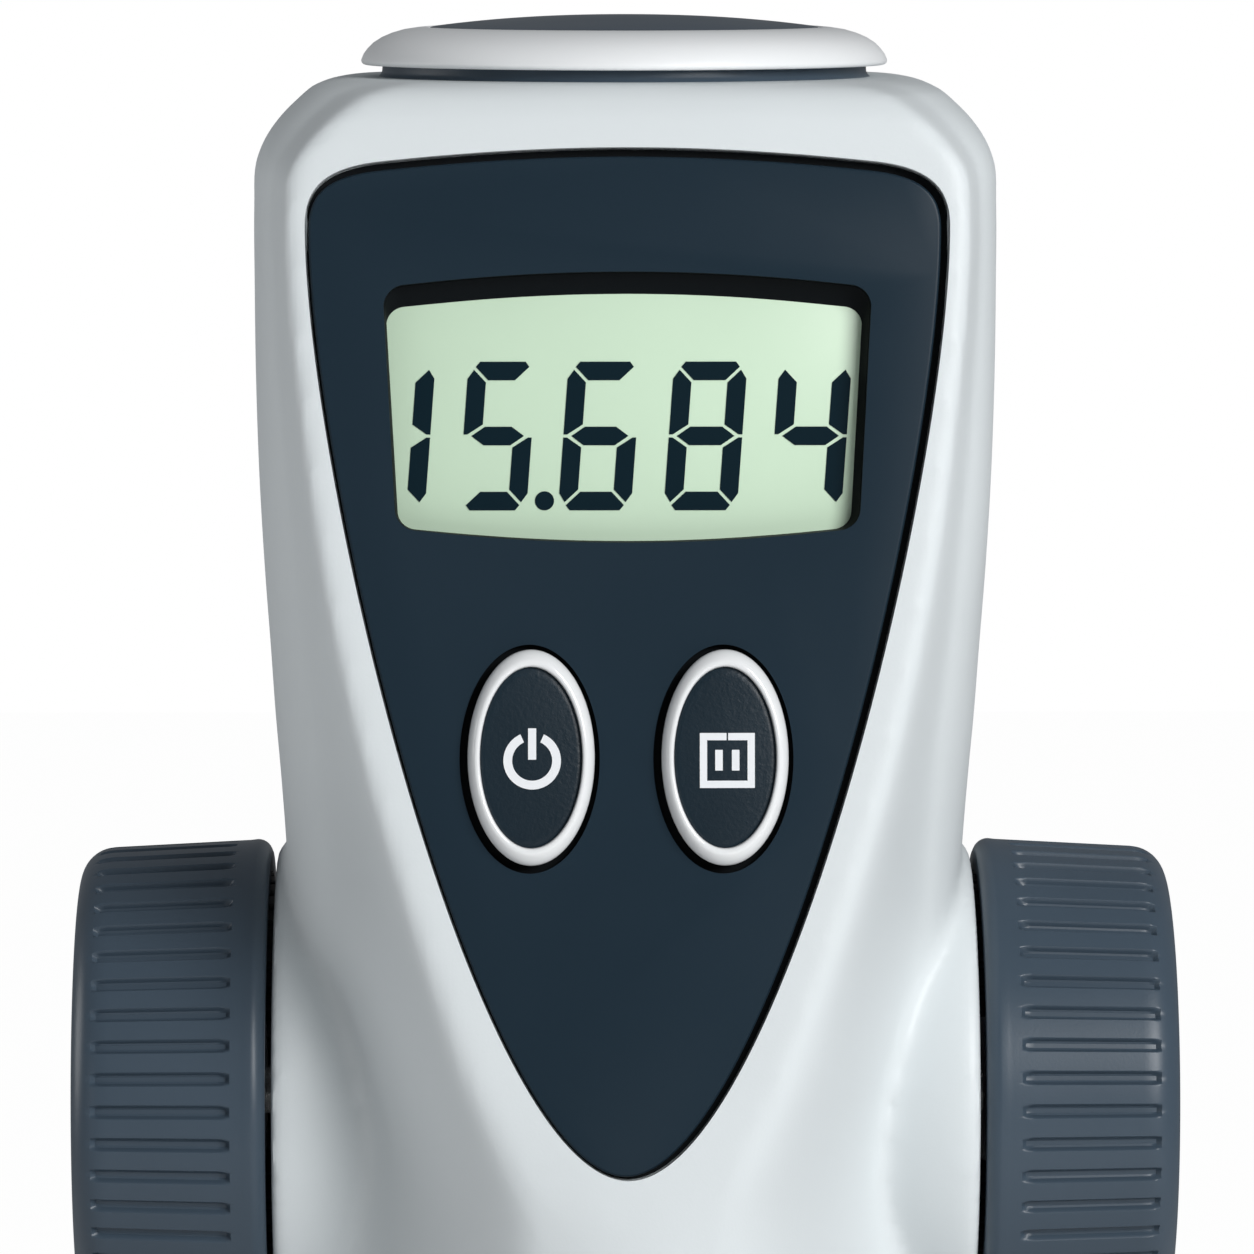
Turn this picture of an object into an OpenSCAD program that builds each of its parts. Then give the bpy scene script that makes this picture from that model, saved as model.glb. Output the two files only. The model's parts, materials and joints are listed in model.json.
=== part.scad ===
// Bottle-top digital burette: bottle adapter, glass cylinder and piston, rack
// drive with two handwheels, display head and telescopic titrating arm.
// Millimetres, +Z up, front faces -Y, origin at the mouth of the bottle thread.

/* [Bottle adapter] */
// radius of the bottle thread bore
thread_r = 22.75; // [20:0.05:25]
// depth of the bottle thread
thread_depth = 14; // [10:0.5:18]
// outer radius of the ribbed skirt
skirt_r = 27; // [25.5:0.5:32]
// number of grip ribs on the skirt
skirt_ribs = 36; // [12:1:60]
// height of the valve block shoulder
block_z = 44; // [38:1:50]
// height of the two side ports
port_z = 32; // [26:1:36]

/* [Glass cylinder and piston] */
// bore radius of the glass cylinder
cyl_r = 15; // [12:0.5:18]
// glass wall thickness
glass_t = 3; // [2:0.5:4]
// height of the glass rim
cyl_top = 132; // [120:1:134]
// height of the piston face at rest
piston_z = 52; // [51.5:0.5:60]
// stroke of the piston for a full filling
stroke = 70.7; // [60:0.1:71]
// radial gap between seal and glass
seal_gap = 0.03; // [0.01:0.01:0.1]
// outer radius of the splash sleeve
sleeve_r = 24; // [22:0.5:26]

/* [Drive] */
// height of the handwheel axis
axis_z = 150; // [146:0.5:156]
// depth position of both shafts
axis_y = 10; // [8:0.5:14]
// teeth on the drive pinion
pinion_teeth = 12; // [12:1:20]
// teeth on the reduction gear
gear_teeth = 43; // [30:1:60]
// module of the reduction pair
gear_m = 0.8; // [0.6:0.1:1.2]
// teeth on the rack pinion
rack_teeth = 12; // [12:1:16]
// module of rack and rack pinion
rack_m = 1; // [0.8:0.1:1.2]
// pressure angle of all teeth
pressure = 25; // [20:1:25]
// thinning of each tooth for backlash
backlash = 0.16; // [0.05:0.01:0.3]
// radius of the handwheel shaft
shaft_r = 2.5; // [2:0.1:3]
// radius of the gear shaft
gshaft_r = 2; // [1.5:0.1:2.5]
// running clearance of the bushes
run_gap = 0.04; // [0.02:0.01:0.1]
// half distance between the frame plates
plate_x = 17.5; // [16:0.5:19]

/* [Handwheels] */
// radius at the inner edge of a handwheel
wheel_r = 26.3; // [22:0.1:30]
// width of a handwheel
wheel_w = 19.9; // [14:0.1:24]
// distance of the inner wheel edge from the middle
wheel_x = 36.8; // [36.5:0.1:40]
// number of grip grooves
groove_n = 48; // [24:1:60]
// width of a grip groove
groove_w = 1.4; // [0.8:0.1:2]
// length of a grip groove
groove_len = 14.3; // [8:0.1:16]
// depth of a grip groove
groove_d = 0.6; // [0.3:0.1:1]
// taper of the rim in degrees
wheel_taper = 3; // [0:0.5:6]

/* [Head housing] */
// wall thickness of the two shells
wall = 2.4; // [1.8:0.1:3]
// outer face of the shaft bosses
boss_x = 36.2; // [35:0.1:36.4]
// radius of the shaft bosses
boss_r = 25.6; // [22:0.1:27]
// lean of the display panel in degrees
tilt = 6.5; // [4:0.5:9]
// depth position of the lower panel tip
tip_y = -38; // [-40:0.5:-34]
// height of the lower panel tip
tip_z = 148.3; // [146:0.1:152]
// depth of the panel pocket
pocket = 2.4; // [1.8:0.1:3]
// thickness of the panel
panel_t = 1.5; // [1:0.1:2]
// step from the housing rim down to the panel
panel_step = 0.8; // [0.2:0.1:1.2]

/* [Buttons and display] */
// half distance between the two buttons
button_x = 9.6; // [8.5:0.1:11]
// height of the buttons along the panel
button_h = 41.9; // [38:0.1:46]
// half width of a button
button_a = 6.3; // [5:0.1:7]
// half height of a button
button_b = 10.7; // [8:0.1:12]
// travel of a button
button_travel = 0.8; // [0.4:0.1:1]
// gap round a button in its well
button_gap = 0.8; // [0.4:0.05:1]
// half width of the display window
lcd_a = 24.2; // [20:0.1:25]

/* [Titrating arm] */
// length of the fixed arm sleeve
arm_len = 80; // [60:1:90]
// travel of the arm slider
arm_travel = 60; // [40:1:65]
// outer radius of the arm sleeve
arm_r = 7; // [6:0.5:8]
// radius of the titrating tube
tube_r = 3; // [2.5:0.1:4]
// radial gap of the sliding tubes
slide_gap = 0.15; // [0.05:0.05:0.3]

/* [Batteries] */
// radius of a battery
batt_r = 5.25; // [5:0.05:7]
// length of a battery
batt_len = 44.5; // [40:0.5:50]

/* [Hidden] */
$fn = 64;
e = 0.01;

glass_r = cyl_r + glass_t;
gear_r = gear_teeth * gear_m / 2;
dpin_r = pinion_teeth * gear_m / 2;
gear_z = axis_z + gear_r + dpin_r;
rpin_r = rack_teeth * rack_m / 2;
pitch_y = axis_y - rpin_r;
rack_tip = pitch_y + rack_m;
rack_root = pitch_y - 1.25 * rack_m;
rod_back = -4;
rod_x = 4;
rod_top = gear_z + 9;
base_z = 138;
base_t = 3.5;
bridge_z = gear_z + gear_r + gear_m + 1;
plate_t = 2.5;
neck_y = 4;
deck_z = 256.7;
deck_r = 23;
arm_z = port_z + 2;
arm_y = -49;
tan_t = tan(tilt);

white = [0.9, 0.91, 0.92];
slate = [0.17, 0.22, 0.27];
steel = [0.7, 0.72, 0.74];
brass = [0.8, 0.65, 0.3];
rubber = [0.08, 0.08, 0.09];
amber = [0.75, 0.4, 0.12];
clear = [0.8, 0.9, 0.95];

// a tube standing on z0
module tube(r1, r0, z0, z1) {
  translate([0, 0, z0]) difference() {
    cylinder(r = r1, h = z1 - z0);
    translate([0, 0, -1]) cylinder(r = r0, h = z1 - z0 + 2);
  }
}
// a cylinder along X from x0 to x1
module xcyl(r, x0, x1) translate([x0, 0, 0]) rotate([0, 90, 0]) cylinder(r = r, h = x1 - x0);
// a cylinder along Y from y0 to y1
module ycyl(r, y0, y1) translate([0, y1, 0]) rotate([90, 0, 0]) cylinder(r = r, h = y1 - y0);
// children on the leaning panel: x across, z up the panel, y into the head
module on_panel() translate([0, tip_y, tip_z]) rotate([-tilt, 0, 0]) children();
// a flat shape on the panel between depths d0 and d1
module slab(d0, d1) translate([0, d1, 0]) rotate([90, 0, 0]) linear_extrude(d1 - d0) children();
module ell(a, b) scale([a / b, 1]) circle(r = b);

// ---- gear teeth -----------------------------------------------------------
function inv_pt(rb, t) = [rb * (cos(t) + t * PI / 180 * sin(t)), rb * (sin(t) - t * PI / 180 * cos(t))];
function spin(p, a) = [p[0] * cos(a) - p[1] * sin(a), p[0] * sin(a) + p[1] * cos(a)];
function gear_pts(z, m) = let(
    r = z * m / 2, rb = r * cos(pressure), ra = r + m, rf = r - 1.2 * m,
    ta = sqrt(ra * ra / (rb * rb) - 1) * 180 / PI,
    tr = rf > rb ? sqrt(rf * rf / (rb * rb) - 1) * 180 / PI : 0,
    half = 90 / z - backlash / r / 2 * 90 / PI + (tan(pressure) * 180 / PI - pressure),
    k = 5)
  [for (i = [0:z - 1]) let(c = 360 * i / z) each concat(
    [spin([rf, 0], c - half - (rf > rb ? 0 : 0.6))],
    [for (j = [0:k]) spin(inv_pt(rb, tr + (ta - tr) * j / k), c - half)],
    [for (j = [k:-1:0]) let(p = inv_pt(rb, tr + (ta - tr) * j / k)) spin([p[0], -p[1]], c + half)],
    [spin([rf, 0], c + half + (rf > rb ? 0 : 0.6))])];
// a gear along X between x0 and x1, first tooth at angle a from +Y towards +Z
module xgear(z, m, x0, x1, a) translate([x0, 0, 0]) rotate([90, 0, 90])
  linear_extrude(x1 - x0) rotate(a) polygon(gear_pts(z, m));

// ---- panel outline --------------------------------------------------------
function bez3(a, b, c, d, t) = a * pow(1 - t, 3) + b * 3 * t * pow(1 - t, 2) + c * 3 * t * t * (1 - t) + d * pow(t, 3);
function shield_half(s) = concat(
  [for (i = [0:14]) bez3([0, 0], [15, 0], [32, 70], [32, 94.6], i / 14)],
  [for (i = [1:5]) bez3([32, 94.6], [32, 98.6], [29.8, 100.5], [24, 101.05], i / 5)],
  [[12, 102.05], [0, 102.4]]);
module shield(o = 0) offset(delta = o) polygon(concat(shield_half(0),
  [for (i = [len(shield_half(0)) - 2:-1:1]) let(p = shield_half(0)[i]) [-p[0], p[1]]]));
// display window: barrel shape, arcs at top and bottom
module lcd_shape(o) offset(r = 2) offset(delta = o - 2) polygon([
  [-lcd_a, 88.8], [-lcd_a / 2, 89.8], [0, 90.1], [lcd_a / 2, 89.8], [lcd_a, 88.8],
  [lcd_a - 0.2, 76], [lcd_a - 1.1, 64.4], [lcd_a / 2, 63.5], [0, 63.2], [-lcd_a / 2, 63.5],
  [-lcd_a + 1.1, 64.4], [-lcd_a + 0.2, 76]]);

// ---- head loft ------------------------------------------------------------
// z, half width, body front, back, exponent, middle y, ridge front, ridge edge, blend, crown, softness
S = [
 [108,   27,   -27,   27,   2,   0,  -27,   13,   6,   0.8, 0.5],
 [113,   27.7, -27,   27.9, 2.1, 3,  -28.9, 15,   9,   1.6, 0.5],
 [118,   28.8, -26,   29.4, 2.2, 4,  -30.7, 17,   11,  2,   0.5],
 [124,   30.6, -24,   31.4, 2.4, 7,  -33.2, 18.5, 13,  2.4, 0.5],
 [130,   32,   -20.5, 32.8, 2.7, 9,  -35.4, 19.5, 14,  2,   0.5],
 [136,   32.9, -17.2, 33.8, 3,   10, -37,   20,   14,  1.4, 0.5],
 [143,   33.5, -15.4, 34.6, 3.2, 10, -37.9, 20.5, 14,  0.8, 0.48],
 [150,   33.9, -14.7, 35.2, 3.2, 10, 1,     21,   13,  0.2, 0.45],
 [157,   34.3, -16,   35.6, 3.2, 10, 1,     21.6, 11.5,0,   0.42],
 [164,   34.7, -18,   35.8, 3.2, 10, 1,     22.3, 9.6, 0,   0.36],
 [171,   35.1, -20.5, 36,   3.3, 10, 1,     23,   7.6, 0,   0.28],
 [178,   35.6, -23.4, 36,   3.4, 10, 1,     24.2, 5.8, 0,   0.2],
 [185,   36.2, -26,   36,   3.6, 10, 1,     25.6, 4.5, 0,   0.12],
 [191,   36.8, -27.8, 36,   3.8, 10, 1,     27,   3.6, 0,   0.06],
 [198,   37.3, -29,   36,   4.1, 10, 1,     28.5, 3,   0,   0.02],
 [206,   37.9, -29.4, 36,   4.5, 10, 1,     30.1, 2.6, 0,   0],
 [215,   38.4, -29,   36,   4.9, 10, 1,     31.6, 2.4, 0,   0],
 [225,   38.8, -28.1, 36,   5.2, 10, 1,     32.9, 2.2, 0,   0],
 [236,   38.95,-27,   36,   5.5, 10, 1,     34.2, 2.2, 0,   0],
 [244,   38.9, -26.2, 36,   5.5, 10, 1,     35,   2.2, 0,   0],
 [248,   38.7, -25.8, 35.6, 5.5, 10, 1,     35.1, 2.4, 0,   0],
 [251.3, 37.5, -25.1, 34.6, 5.2, 9,  -26.2, 33.9, 3,   0.1, 0.1],
 [254.4, 34.9, -23.7, 33,   4.6, 7,  -25.2, 31,   4,   0.3, 0.2],
 [255.8, 33,   -22.6, 32,   4.2, 6,  -24.2, 29,   5,   0.5, 0.3],
 [256.4, 31.2, -21.8, 31,   3.9, 5,  -23.3, 27,   6,   0.7, 0.3],
 [256.7, 29.6, -21,   30,   3.6, 4,  -22.4, 25,   6,   0.9, 0.3]];
function plane_y(z) = tip_y + (z - tip_z) * tan_t;
function ridge_y(s) = s[6] < 0 ? s[6] : plane_y(s[0]);
// one half section: body and ridge drawn in by t
function sec(s, t) = let(
    a = s[1] - t, y0 = s[5], bf = y0 - s[2] - t, bb = s[3] - y0 - t, n = s[4],
    xc = s[7] - t, ww = s[8] * (xc - 0.8) / (s[7]), wf = xc - ww,
    yr = min(ridge_y(s) + (s[0] < 146 ? 1 : 2) * t, y0 - bf * 0.9), yc = y0 - bf * pow(1 - pow(xc / a, n), 1 / n),
    yk = max(yr + s[9], yr), p0 = [wf, yk], p3 = [xc, yc],
    p1 = [wf + 0.6 * ww, yk + (s[9] > 0 ? s[9] * 0.6 : 0)], p2 = [xc - s[10] * ww, yc - (s[10] > 0 ? 0.2 : 0)],
    q0 = acos(pow(xc / a, n / 2)))
  concat(
    [for (i = [0:3]) [wf * i / 4, yr + s[9] * pow(i / 4, 2)]],
    [for (i = [0:6]) bez3(p0, p1, p2, p3, i / 6)],
    [for (i = [1:9]) let(q = q0 * (1 - i / 9)) [a * pow(max(cos(q), 0), 2 / n), y0 - bf * pow(max(sin(q), 0), 2 / n)]],
    [for (i = [1:10]) let(q = 9 * i) [a * pow(max(cos(q), 0), 2 / n), y0 + bb * pow(max(sin(q), 0), 2 / n)]]);
nf = 20;
nb = 11;
function ring_half(r) = concat([for (i = [0:nf - 1]) let(q = 90 * (1 - i / (nf - 1))) [r * cos(q), neck_y - r * sin(q)]],
    [for (i = [1:nb - 1]) let(q = 90 * i / (nb - 1)) [r * cos(q), neck_y + r * sin(q)]]);
function lift(pts, z) = [for (p = pts) [p[0], p[1], z]];
function in_z(z) = z <= 240 ? z : z >= 250 ? z - wall : z - wall * (z - 240) / 10;
outer_rows = concat([for (s = S) lift(sec(s, 0), s[0])], [lift(ring_half(deck_r), deck_z)]);
inner_rows = concat([for (s = S) lift(sec(s, wall), in_z(s[0]))], [lift(ring_half(deck_r), deck_z - wall)]);
function front_row(r) = concat([for (i = [nf - 1:-1:1]) [-r[i][0], r[i][1], r[i][2]]], [for (i = [0:nf - 1]) r[i]]);
function back_row(r) = concat([for (i = [nf - 1:nf + nb - 2]) r[i]], [for (i = [nf + nb - 3:-1:nf - 1]) [-r[i][0], r[i][1], r[i][2]]]);
// a shell closed between an outer and an inner grid of points
module skin(o, n) {
  h = len(o);
  w = len(o[0]);
  pts = [for (g = [o, n]) for (r = g) for (p = r) p];
  function ix(g, r, c) = g * h * w + r * w + c;
  quads = concat(
    [for (r = [0:h - 2]) for (c = [0:w - 2]) [ix(0, r, c), ix(0, r + 1, c), ix(0, r + 1, c + 1), ix(0, r, c + 1)]],
    [for (r = [0:h - 2]) for (c = [0:w - 2]) [ix(1, r, c), ix(1, r, c + 1), ix(1, r + 1, c + 1), ix(1, r + 1, c)]],
    [for (c = [0:w - 2]) [ix(0, 0, c), ix(0, 0, c + 1), ix(1, 0, c + 1), ix(1, 0, c)]],
    [for (c = [0:w - 2]) [ix(0, h - 1, c), ix(1, h - 1, c), ix(1, h - 1, c + 1), ix(0, h - 1, c + 1)]],
    [for (r = [0:h - 2]) [ix(0, r, 0), ix(1, r, 0), ix(1, r + 1, 0), ix(0, r + 1, 0)]],
    [for (r = [0:h - 2]) [ix(0, r, w - 1), ix(0, r + 1, w - 1), ix(1, r + 1, w - 1), ix(1, r, w - 1)]]);
  polyhedron(pts, [for (q = quads) each [[q[0], q[1], q[2]], [q[0], q[2], q[3]]]]);
}
// the flared boss round the handwheel shaft, right side
module horn() translate([0, axis_y, axis_z]) rotate([0, 90, 0]) rotate_extrude() polygon([
  [3.4, boss_x - wall], [boss_r - wall, boss_x - wall], [boss_r - wall - 0.6, 31], [boss_r - wall - 4.6, 24],
  [boss_r - 4.6, 24], [boss_r - 2.4, 28], [boss_r - 0.8, 32], [boss_r, boss_x], [3.4, boss_x]]);
module horns() { horn(); mirror([1, 0, 0]) horn(); }
// what lies in front of the parting line, which follows the widest place of each section
module front_side() rotate([90, 0, 90]) linear_extrude(100, center = true) polygon(concat(
  [[-60, 100], [S[0][5], 100]], [for (s = S) if (s[0] < 150) [s[5], s[0]]], [[axis_y, 200], [-60, 200]]));
module shaft_hole() translate([0, axis_y, axis_z]) xcyl(3.4, -60, 60);
screw_z = 228;
screw_x = 31;
module front_housing() color(white) difference() {
  union() {
    skin([for (r = outer_rows) front_row(r)], [for (r = inner_rows) front_row(r)]);
    intersection() { horns(); front_side(); }
    for (s = [-1, 1]) translate([s * screw_x, 0, screw_z]) ycyl(3.4, -25, axis_y);
    on_panel() for (s = [-1, 1]) for (p = [[21.5, 94.8], [14, 32]]) translate([s * p[0], 0, p[1]])
      ycyl(2.2, 3.6, 6.2);
  }
  on_panel() slab(-6, pocket) shield(0);
  on_panel() slab(1, 12) translate([-25.6, 61.3]) square([51.2, 30.9]);
  on_panel() for (s = [-1, 1]) translate([s * button_x, 0, button_h]) slab(1, 12) ell(button_a + 1.6, button_b + 1.6);
  shaft_hole();
  for (s = [-1, 1]) translate([s * screw_x, 0, screw_z]) ycyl(1.2, -10, axis_y + 1);
}
// two cells side by side, their holder and the opening that they go in through
batt_x = batt_r + 0.75;
batt_y = 31.65 - batt_r;
holder_x = batt_x + batt_r + 2.75;
door_x = holder_x + 1;
door_z1 = 244;
door_z0 = door_z1 - batt_len - 8.5;
batt_z = door_z0 + 5.5;
module rear_housing() color(white) difference() {
  union() {
    skin([for (r = outer_rows) back_row(r)], [for (r = inner_rows) back_row(r)]);
    difference() { horns(); front_side(); }
    for (s = [-1, 1]) translate([s * screw_x, 0, screw_z]) ycyl(3.4, axis_y, 31);
  }
  shaft_hole();
  translate([-door_x, 30, door_z0]) cube([2 * door_x, 12, door_z1 - door_z0]);
  for (s = [-1, 1]) translate([s * screw_x, 0, screw_z]) { ycyl(1.6, 9, 40); ycyl(3, 29, 50); }
}
module battery_door() color(white) {
  translate([-door_x + 0.2, 34, door_z0 + 0.2]) cube([2 * door_x - 0.4, 2, door_z1 - door_z0 - 0.4]);
  translate([-5, 33.5, door_z0 + 0.2]) cube([10, 1, 2.5]);
  for (i = [0:3]) translate([-6, 35.5, door_z1 - 6 - 2.4 * i]) cube([12, 1, 1.2]);
}

// ---- bottle adapter and liquid end ----------------------------------------
module valve_block() color(slate) difference() {
  union() {
    linear_extrude(16) union() { circle(r = skirt_r - 0.8);
      for (i = [0:skirt_ribs - 1]) rotate(i * 360 / skirt_ribs) translate([skirt_r - 1.5, -1]) square([1.5, 2]); }
    translate([0, 0, 16]) cylinder(r1 = skirt_r - 0.8, r2 = 24, h = 3);
    cylinder(r = 24, h = block_z);
    cylinder(r = cyl_r - 0.1, h = block_z + 7);
    translate([0, 0, arm_z]) ycyl(9, -31, 0);
    translate([0, 0, arm_z]) ycyl(8, 0, 31);
  }
  translate([0, 0, -1]) cylinder(r = thread_r, h = thread_depth + 1);
  translate([0, 5, 0]) cylinder(r = 3, h = 60);
  translate([0, -7, arm_z]) cylinder(r = 2, h = 60);
  translate([0, 0, arm_z]) ycyl(2, -32, -7);
  translate([0, -12, 0]) cylinder(r = 2, h = arm_z);
  translate([0, 15, 0]) cylinder(r = 2, h = arm_z);
  translate([0, 0, arm_z]) ycyl(2, 15, 32);
}
module bottle_gasket() color(rubber) tube(thread_r - 0.15, 18, thread_depth - 2, thread_depth);
module union_nut() color(slate) difference() {
  union() {
    tube(sleeve_r + 3, 24, block_z - 1, 54);
    for (i = [0:23]) rotate(i * 15) translate([sleeve_r + 2.6, -1.2, block_z - 1]) cube([1.2, 2.4, 9]);
  }
  translate([0, 0, 51]) cylinder(r = sleeve_r, h = 4);
}
module cylinder_seal() color(rubber) tube(24, glass_r, block_z, block_z + 3);
module glass_cylinder() color(clear) tube(glass_r, cyl_r, block_z, cyl_top);
collar_z = 120;
// the four frame screws sit clear of the plates and the housing wall
module at_screws() for (a = [-115, -65, 50, 130]) rotate(a) translate([glass_r + 3, 0, 0]) children();
module cylinder_collar() color(slate) difference() {
  union() {
    translate([0, 0, collar_z - 6]) cylinder(r = sleeve_r - 2.1, h = 6);
    translate([0, 0, collar_z]) cylinder(r = sleeve_r, h = 3);
    translate([0, 0, collar_z + 3]) cylinder(r = glass_r + 1.6, h = base_z - collar_z - 3);
    at_screws() translate([0, 0, collar_z + 3]) cylinder(r = 2.6, h = base_z - collar_z - 3);
  }
  translate([0, 0, collar_z - 7]) cylinder(r = glass_r, h = cyl_top - collar_z + 7);
  translate([0, 0, cyl_top - 1]) cylinder(r = cyl_r + 0.4, h = 20);
  at_screws() translate([0, 0, base_z - 8]) cylinder(r = 1.2, h = 20);
}
win_w = 20;
win_z0 = 62;
win_z1 = 103;
module sleeve_cut(w, g) translate([-w / 2 - g, -40, win_z0 - g]) cube([w + 2 * g, 40, win_z1 - win_z0 + 2 * g]);
module shield_sleeve() color(slate) difference() {
  tube(sleeve_r, sleeve_r - 2, 51, collar_z);
  sleeve_cut(win_w, 0);
  rotate(180) sleeve_cut(win_w, 0);
}
module window() color(amber) intersection() {
  tube(sleeve_r, sleeve_r - 2, win_z0, win_z1);
  sleeve_cut(win_w - 0.2, -0.1);
}
module front_window() window();
module rear_window() rotate(180) window();
module filling_valve() color(white) translate([0, 5, 0]) tube(6, 3, -4, thread_depth);
module filling_tube_outer() color(clear) translate([0, 5, 0]) tube(4, tube_r + slide_gap, -100, -4);
module filling_tube_inner() color(clear) translate([0, 5, 0]) difference() {
  tube(tube_r, 2, -130, -10);
  translate([-5, 0, -132]) rotate([35, 0, 0]) cube([10, 12, 3], center = true);
}
module recirculation_tube() color(clear) translate([0, -12, 0]) tube(2, 1.2, -60, arm_z - 6);
module vent_cap() color(slate) translate([0, 0, arm_z]) difference() {
  union() { ycyl(9.5, 28.4, 40); for (i = [0:11]) rotate([0, i * 30, 0]) translate([9, 30, -0.8]) cube([1.2, 8, 1.6]); }
  ycyl(8, 24, 31);
  ycyl(1.5, 30, 41);
}
module discharge_valve() color(white) difference() {
  union() {
    translate([-10, -49, arm_z - 10]) cube([20, 20, 20]);
    translate([0, -39, arm_z + 10]) cylinder(r = 8, h = 2);
  }
  translate([0, 0, arm_z]) ycyl(9, -31, -28);
  translate([0, 0, arm_z]) ycyl(2, -50, -30);
  translate([0, -39, arm_z + 2]) cylinder(r = 4, h = 20);
}
module recirculation_knob() color(slate) translate([0, -39, 0]) difference() {
  union() {
    translate([0, 0, arm_z + 4]) cylinder(r = 4 - run_gap, h = 9);
    translate([0, 0, arm_z + 12.3]) cylinder(r = 10, h = 4);
    translate([-2.5, -15, arm_z + 14]) cube([5, 24, 9]);
  }
  translate([-1, -14, arm_z + 22.4]) cube([2, 5, 2]);
}
module arm_sleeve() color(white) translate([0, 0, arm_z]) difference() {
  union() { ycyl(arm_r, arm_y - arm_len, arm_y); ycyl(arm_r + 1.5, arm_y - arm_len, arm_y - arm_len + 8); }
  ycyl(arm_r - 2, arm_y - arm_len - 1, arm_y - 3);
  ycyl(1.5, arm_y - 5, arm_y + 1);
}
arm_end = arm_y - arm_len - 6;
module arm_slider() color(steel) translate([0, 0, arm_z]) difference() {
  ycyl(arm_r - 2 - run_gap, arm_end, arm_y - 5);
  ycyl(arm_r - 3, arm_end - 1, arm_y - 4);
}
module tube_holder() color(slate) difference() {
  union() {
    translate([-8, arm_end - 14, arm_z - 9]) cube([16, 14, 18]);
    translate([0, 0, arm_z]) ycyl(arm_r - 3, arm_end - 1, arm_end + 8);
    translate([0, arm_end - 7, arm_z + 9]) cylinder(r = 6.5, h = 4);
  }
  translate([0, arm_end - 7, 0]) cylinder(r = tube_r + slide_gap / 2, h = 100);
  translate([0, 0, arm_z]) ycyl(1.5, arm_end - 8, arm_end + 9);
}
module titrating_tube() color(clear) translate([0, arm_end - 7, 0]) {
  tube(tube_r, 1, -26, arm_z + 50);
  tube(5, tube_r, arm_z + 46, arm_z + 50);
}
module tip_cap() color(slate) translate([0, arm_end - 7, 0]) difference() {
  translate([0, 0, -30]) cylinder(r1 = 4, r2 = 5, h = 18);
  translate([0, 0, -26]) cylinder(r = tube_r + slide_gap / 2, h = 20);
}

// ---- drive ----------------------------------------------------------------
module at_wheel() translate([0, axis_y, axis_z]) children();
module at_gear() translate([0, axis_y, gear_z]) children();
end_x = wheel_x + 14;
module wheel_shaft() color(steel) at_wheel() difference() {
  xcyl(shaft_r, -end_x, end_x);
  xcyl(1.5, end_x - 8, end_x + 1);
  xcyl(1.5, -end_x - 1, -end_x + 8);
}
module drive_pinion() color(brass) at_wheel() difference() {
  union() { xgear(pinion_teeth, gear_m, 6.4, 12.6, 90); xcyl(4.6, 12.6, 15.4); }
  xcyl(shaft_r, 0, 20);
}
module reduction_gear() color(white) at_gear() difference() {
  union() { xgear(gear_teeth, gear_m, 7, 12, -90 + 180 / gear_teeth); xcyl(5, 4.6, 14); }
  xcyl(gshaft_r, 0, 20);
  for (i = [0:5]) rotate([i * 60 + 30, 0, 0]) translate([0, 10.4, 0]) xcyl(3, 6, 13);
}
module rack_pinion() color(brass) at_gear() difference() {
  union() { xgear(rack_teeth, rack_m, -4.5, 4.5, 180); xcyl(4.4, -7, -4.5); }
  xcyl(gshaft_r, -8, 8);
}
module gear_shaft() color(steel) at_gear() xcyl(gshaft_r, -23, 23);
module retaining_clips() color(steel) at_gear() for (s = [-1, 1]) translate([s * 21.55, 0, 0]) difference() {
  xcyl(3.8, -0.35, 0.35);
  xcyl(gshaft_r, -1, 1);
  translate([-1, -0.9, 0]) cube([2, 1.8, 5]);
}
module shaft_bushes() color(brass) for (s = [0, 1]) mirror([s, 0, 0]) {
  at_wheel() difference() { union() { xcyl(4, plate_x, plate_x + 3.5); xcyl(5.4, plate_x + plate_t, plate_x + 3.5); }
    xcyl(shaft_r + run_gap, 10, 30); }
  at_gear() difference() { union() { xcyl(4, plate_x, plate_x + 3.5); xcyl(5.4, plate_x + plate_t, plate_x + 3.5); }
    xcyl(gshaft_r + run_gap, 10, 30); }
}
plate_y0 = axis_y - 19;
plate_y1 = axis_y + 19;
module gear_frame() color(steel) difference() {
  union() {
    for (s = [-1, 1]) translate([s > 0 ? plate_x : -plate_x - plate_t, plate_y0, base_z])
      cube([plate_t, plate_y1 - plate_y0, bridge_z + 3 - base_z]);
    translate([-plate_x - plate_t, plate_y0, base_z]) cube([2 * (plate_x + plate_t), plate_y1 - plate_y0, base_t]);
    translate([-12, -22, base_z]) cube([24, 14, base_t]);
    translate([-plate_x - plate_t, plate_y0, bridge_z]) cube([2 * (plate_x + plate_t), 27.5, 3]);
  }
  at_wheel() xcyl(4, -30, 30);
  at_gear() xcyl(4, -30, 30);
  translate([-rod_x - 0.3, rod_back - 0.3, base_z - 1]) cube([2 * rod_x + 0.6, rack_tip - rod_back + 0.6, 80]);
  at_screws() translate([0, 0, base_z - 1]) cylinder(r = 1.6, h = 20);
}
module frame_screws() color(steel) at_screws() {
  translate([0, 0, 131]) cylinder(r = 1.2, h = base_z + base_t - 131);
  translate([0, 0, base_z + base_t]) cylinder(r = 2.6, h = 1.8);
}
module encoder_disc() color(rubber) at_wheel() difference() {
  union() { xcyl(7.6, -13, -12.2); xcyl(4.5, -12.2, -8); }
  xcyl(shaft_r, -20, 0);
  for (i = [0:23]) rotate([i * 15, 0, 0]) translate([-14, 5.4, -0.4]) cube([3, 1.8, 0.8]);
}
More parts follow.
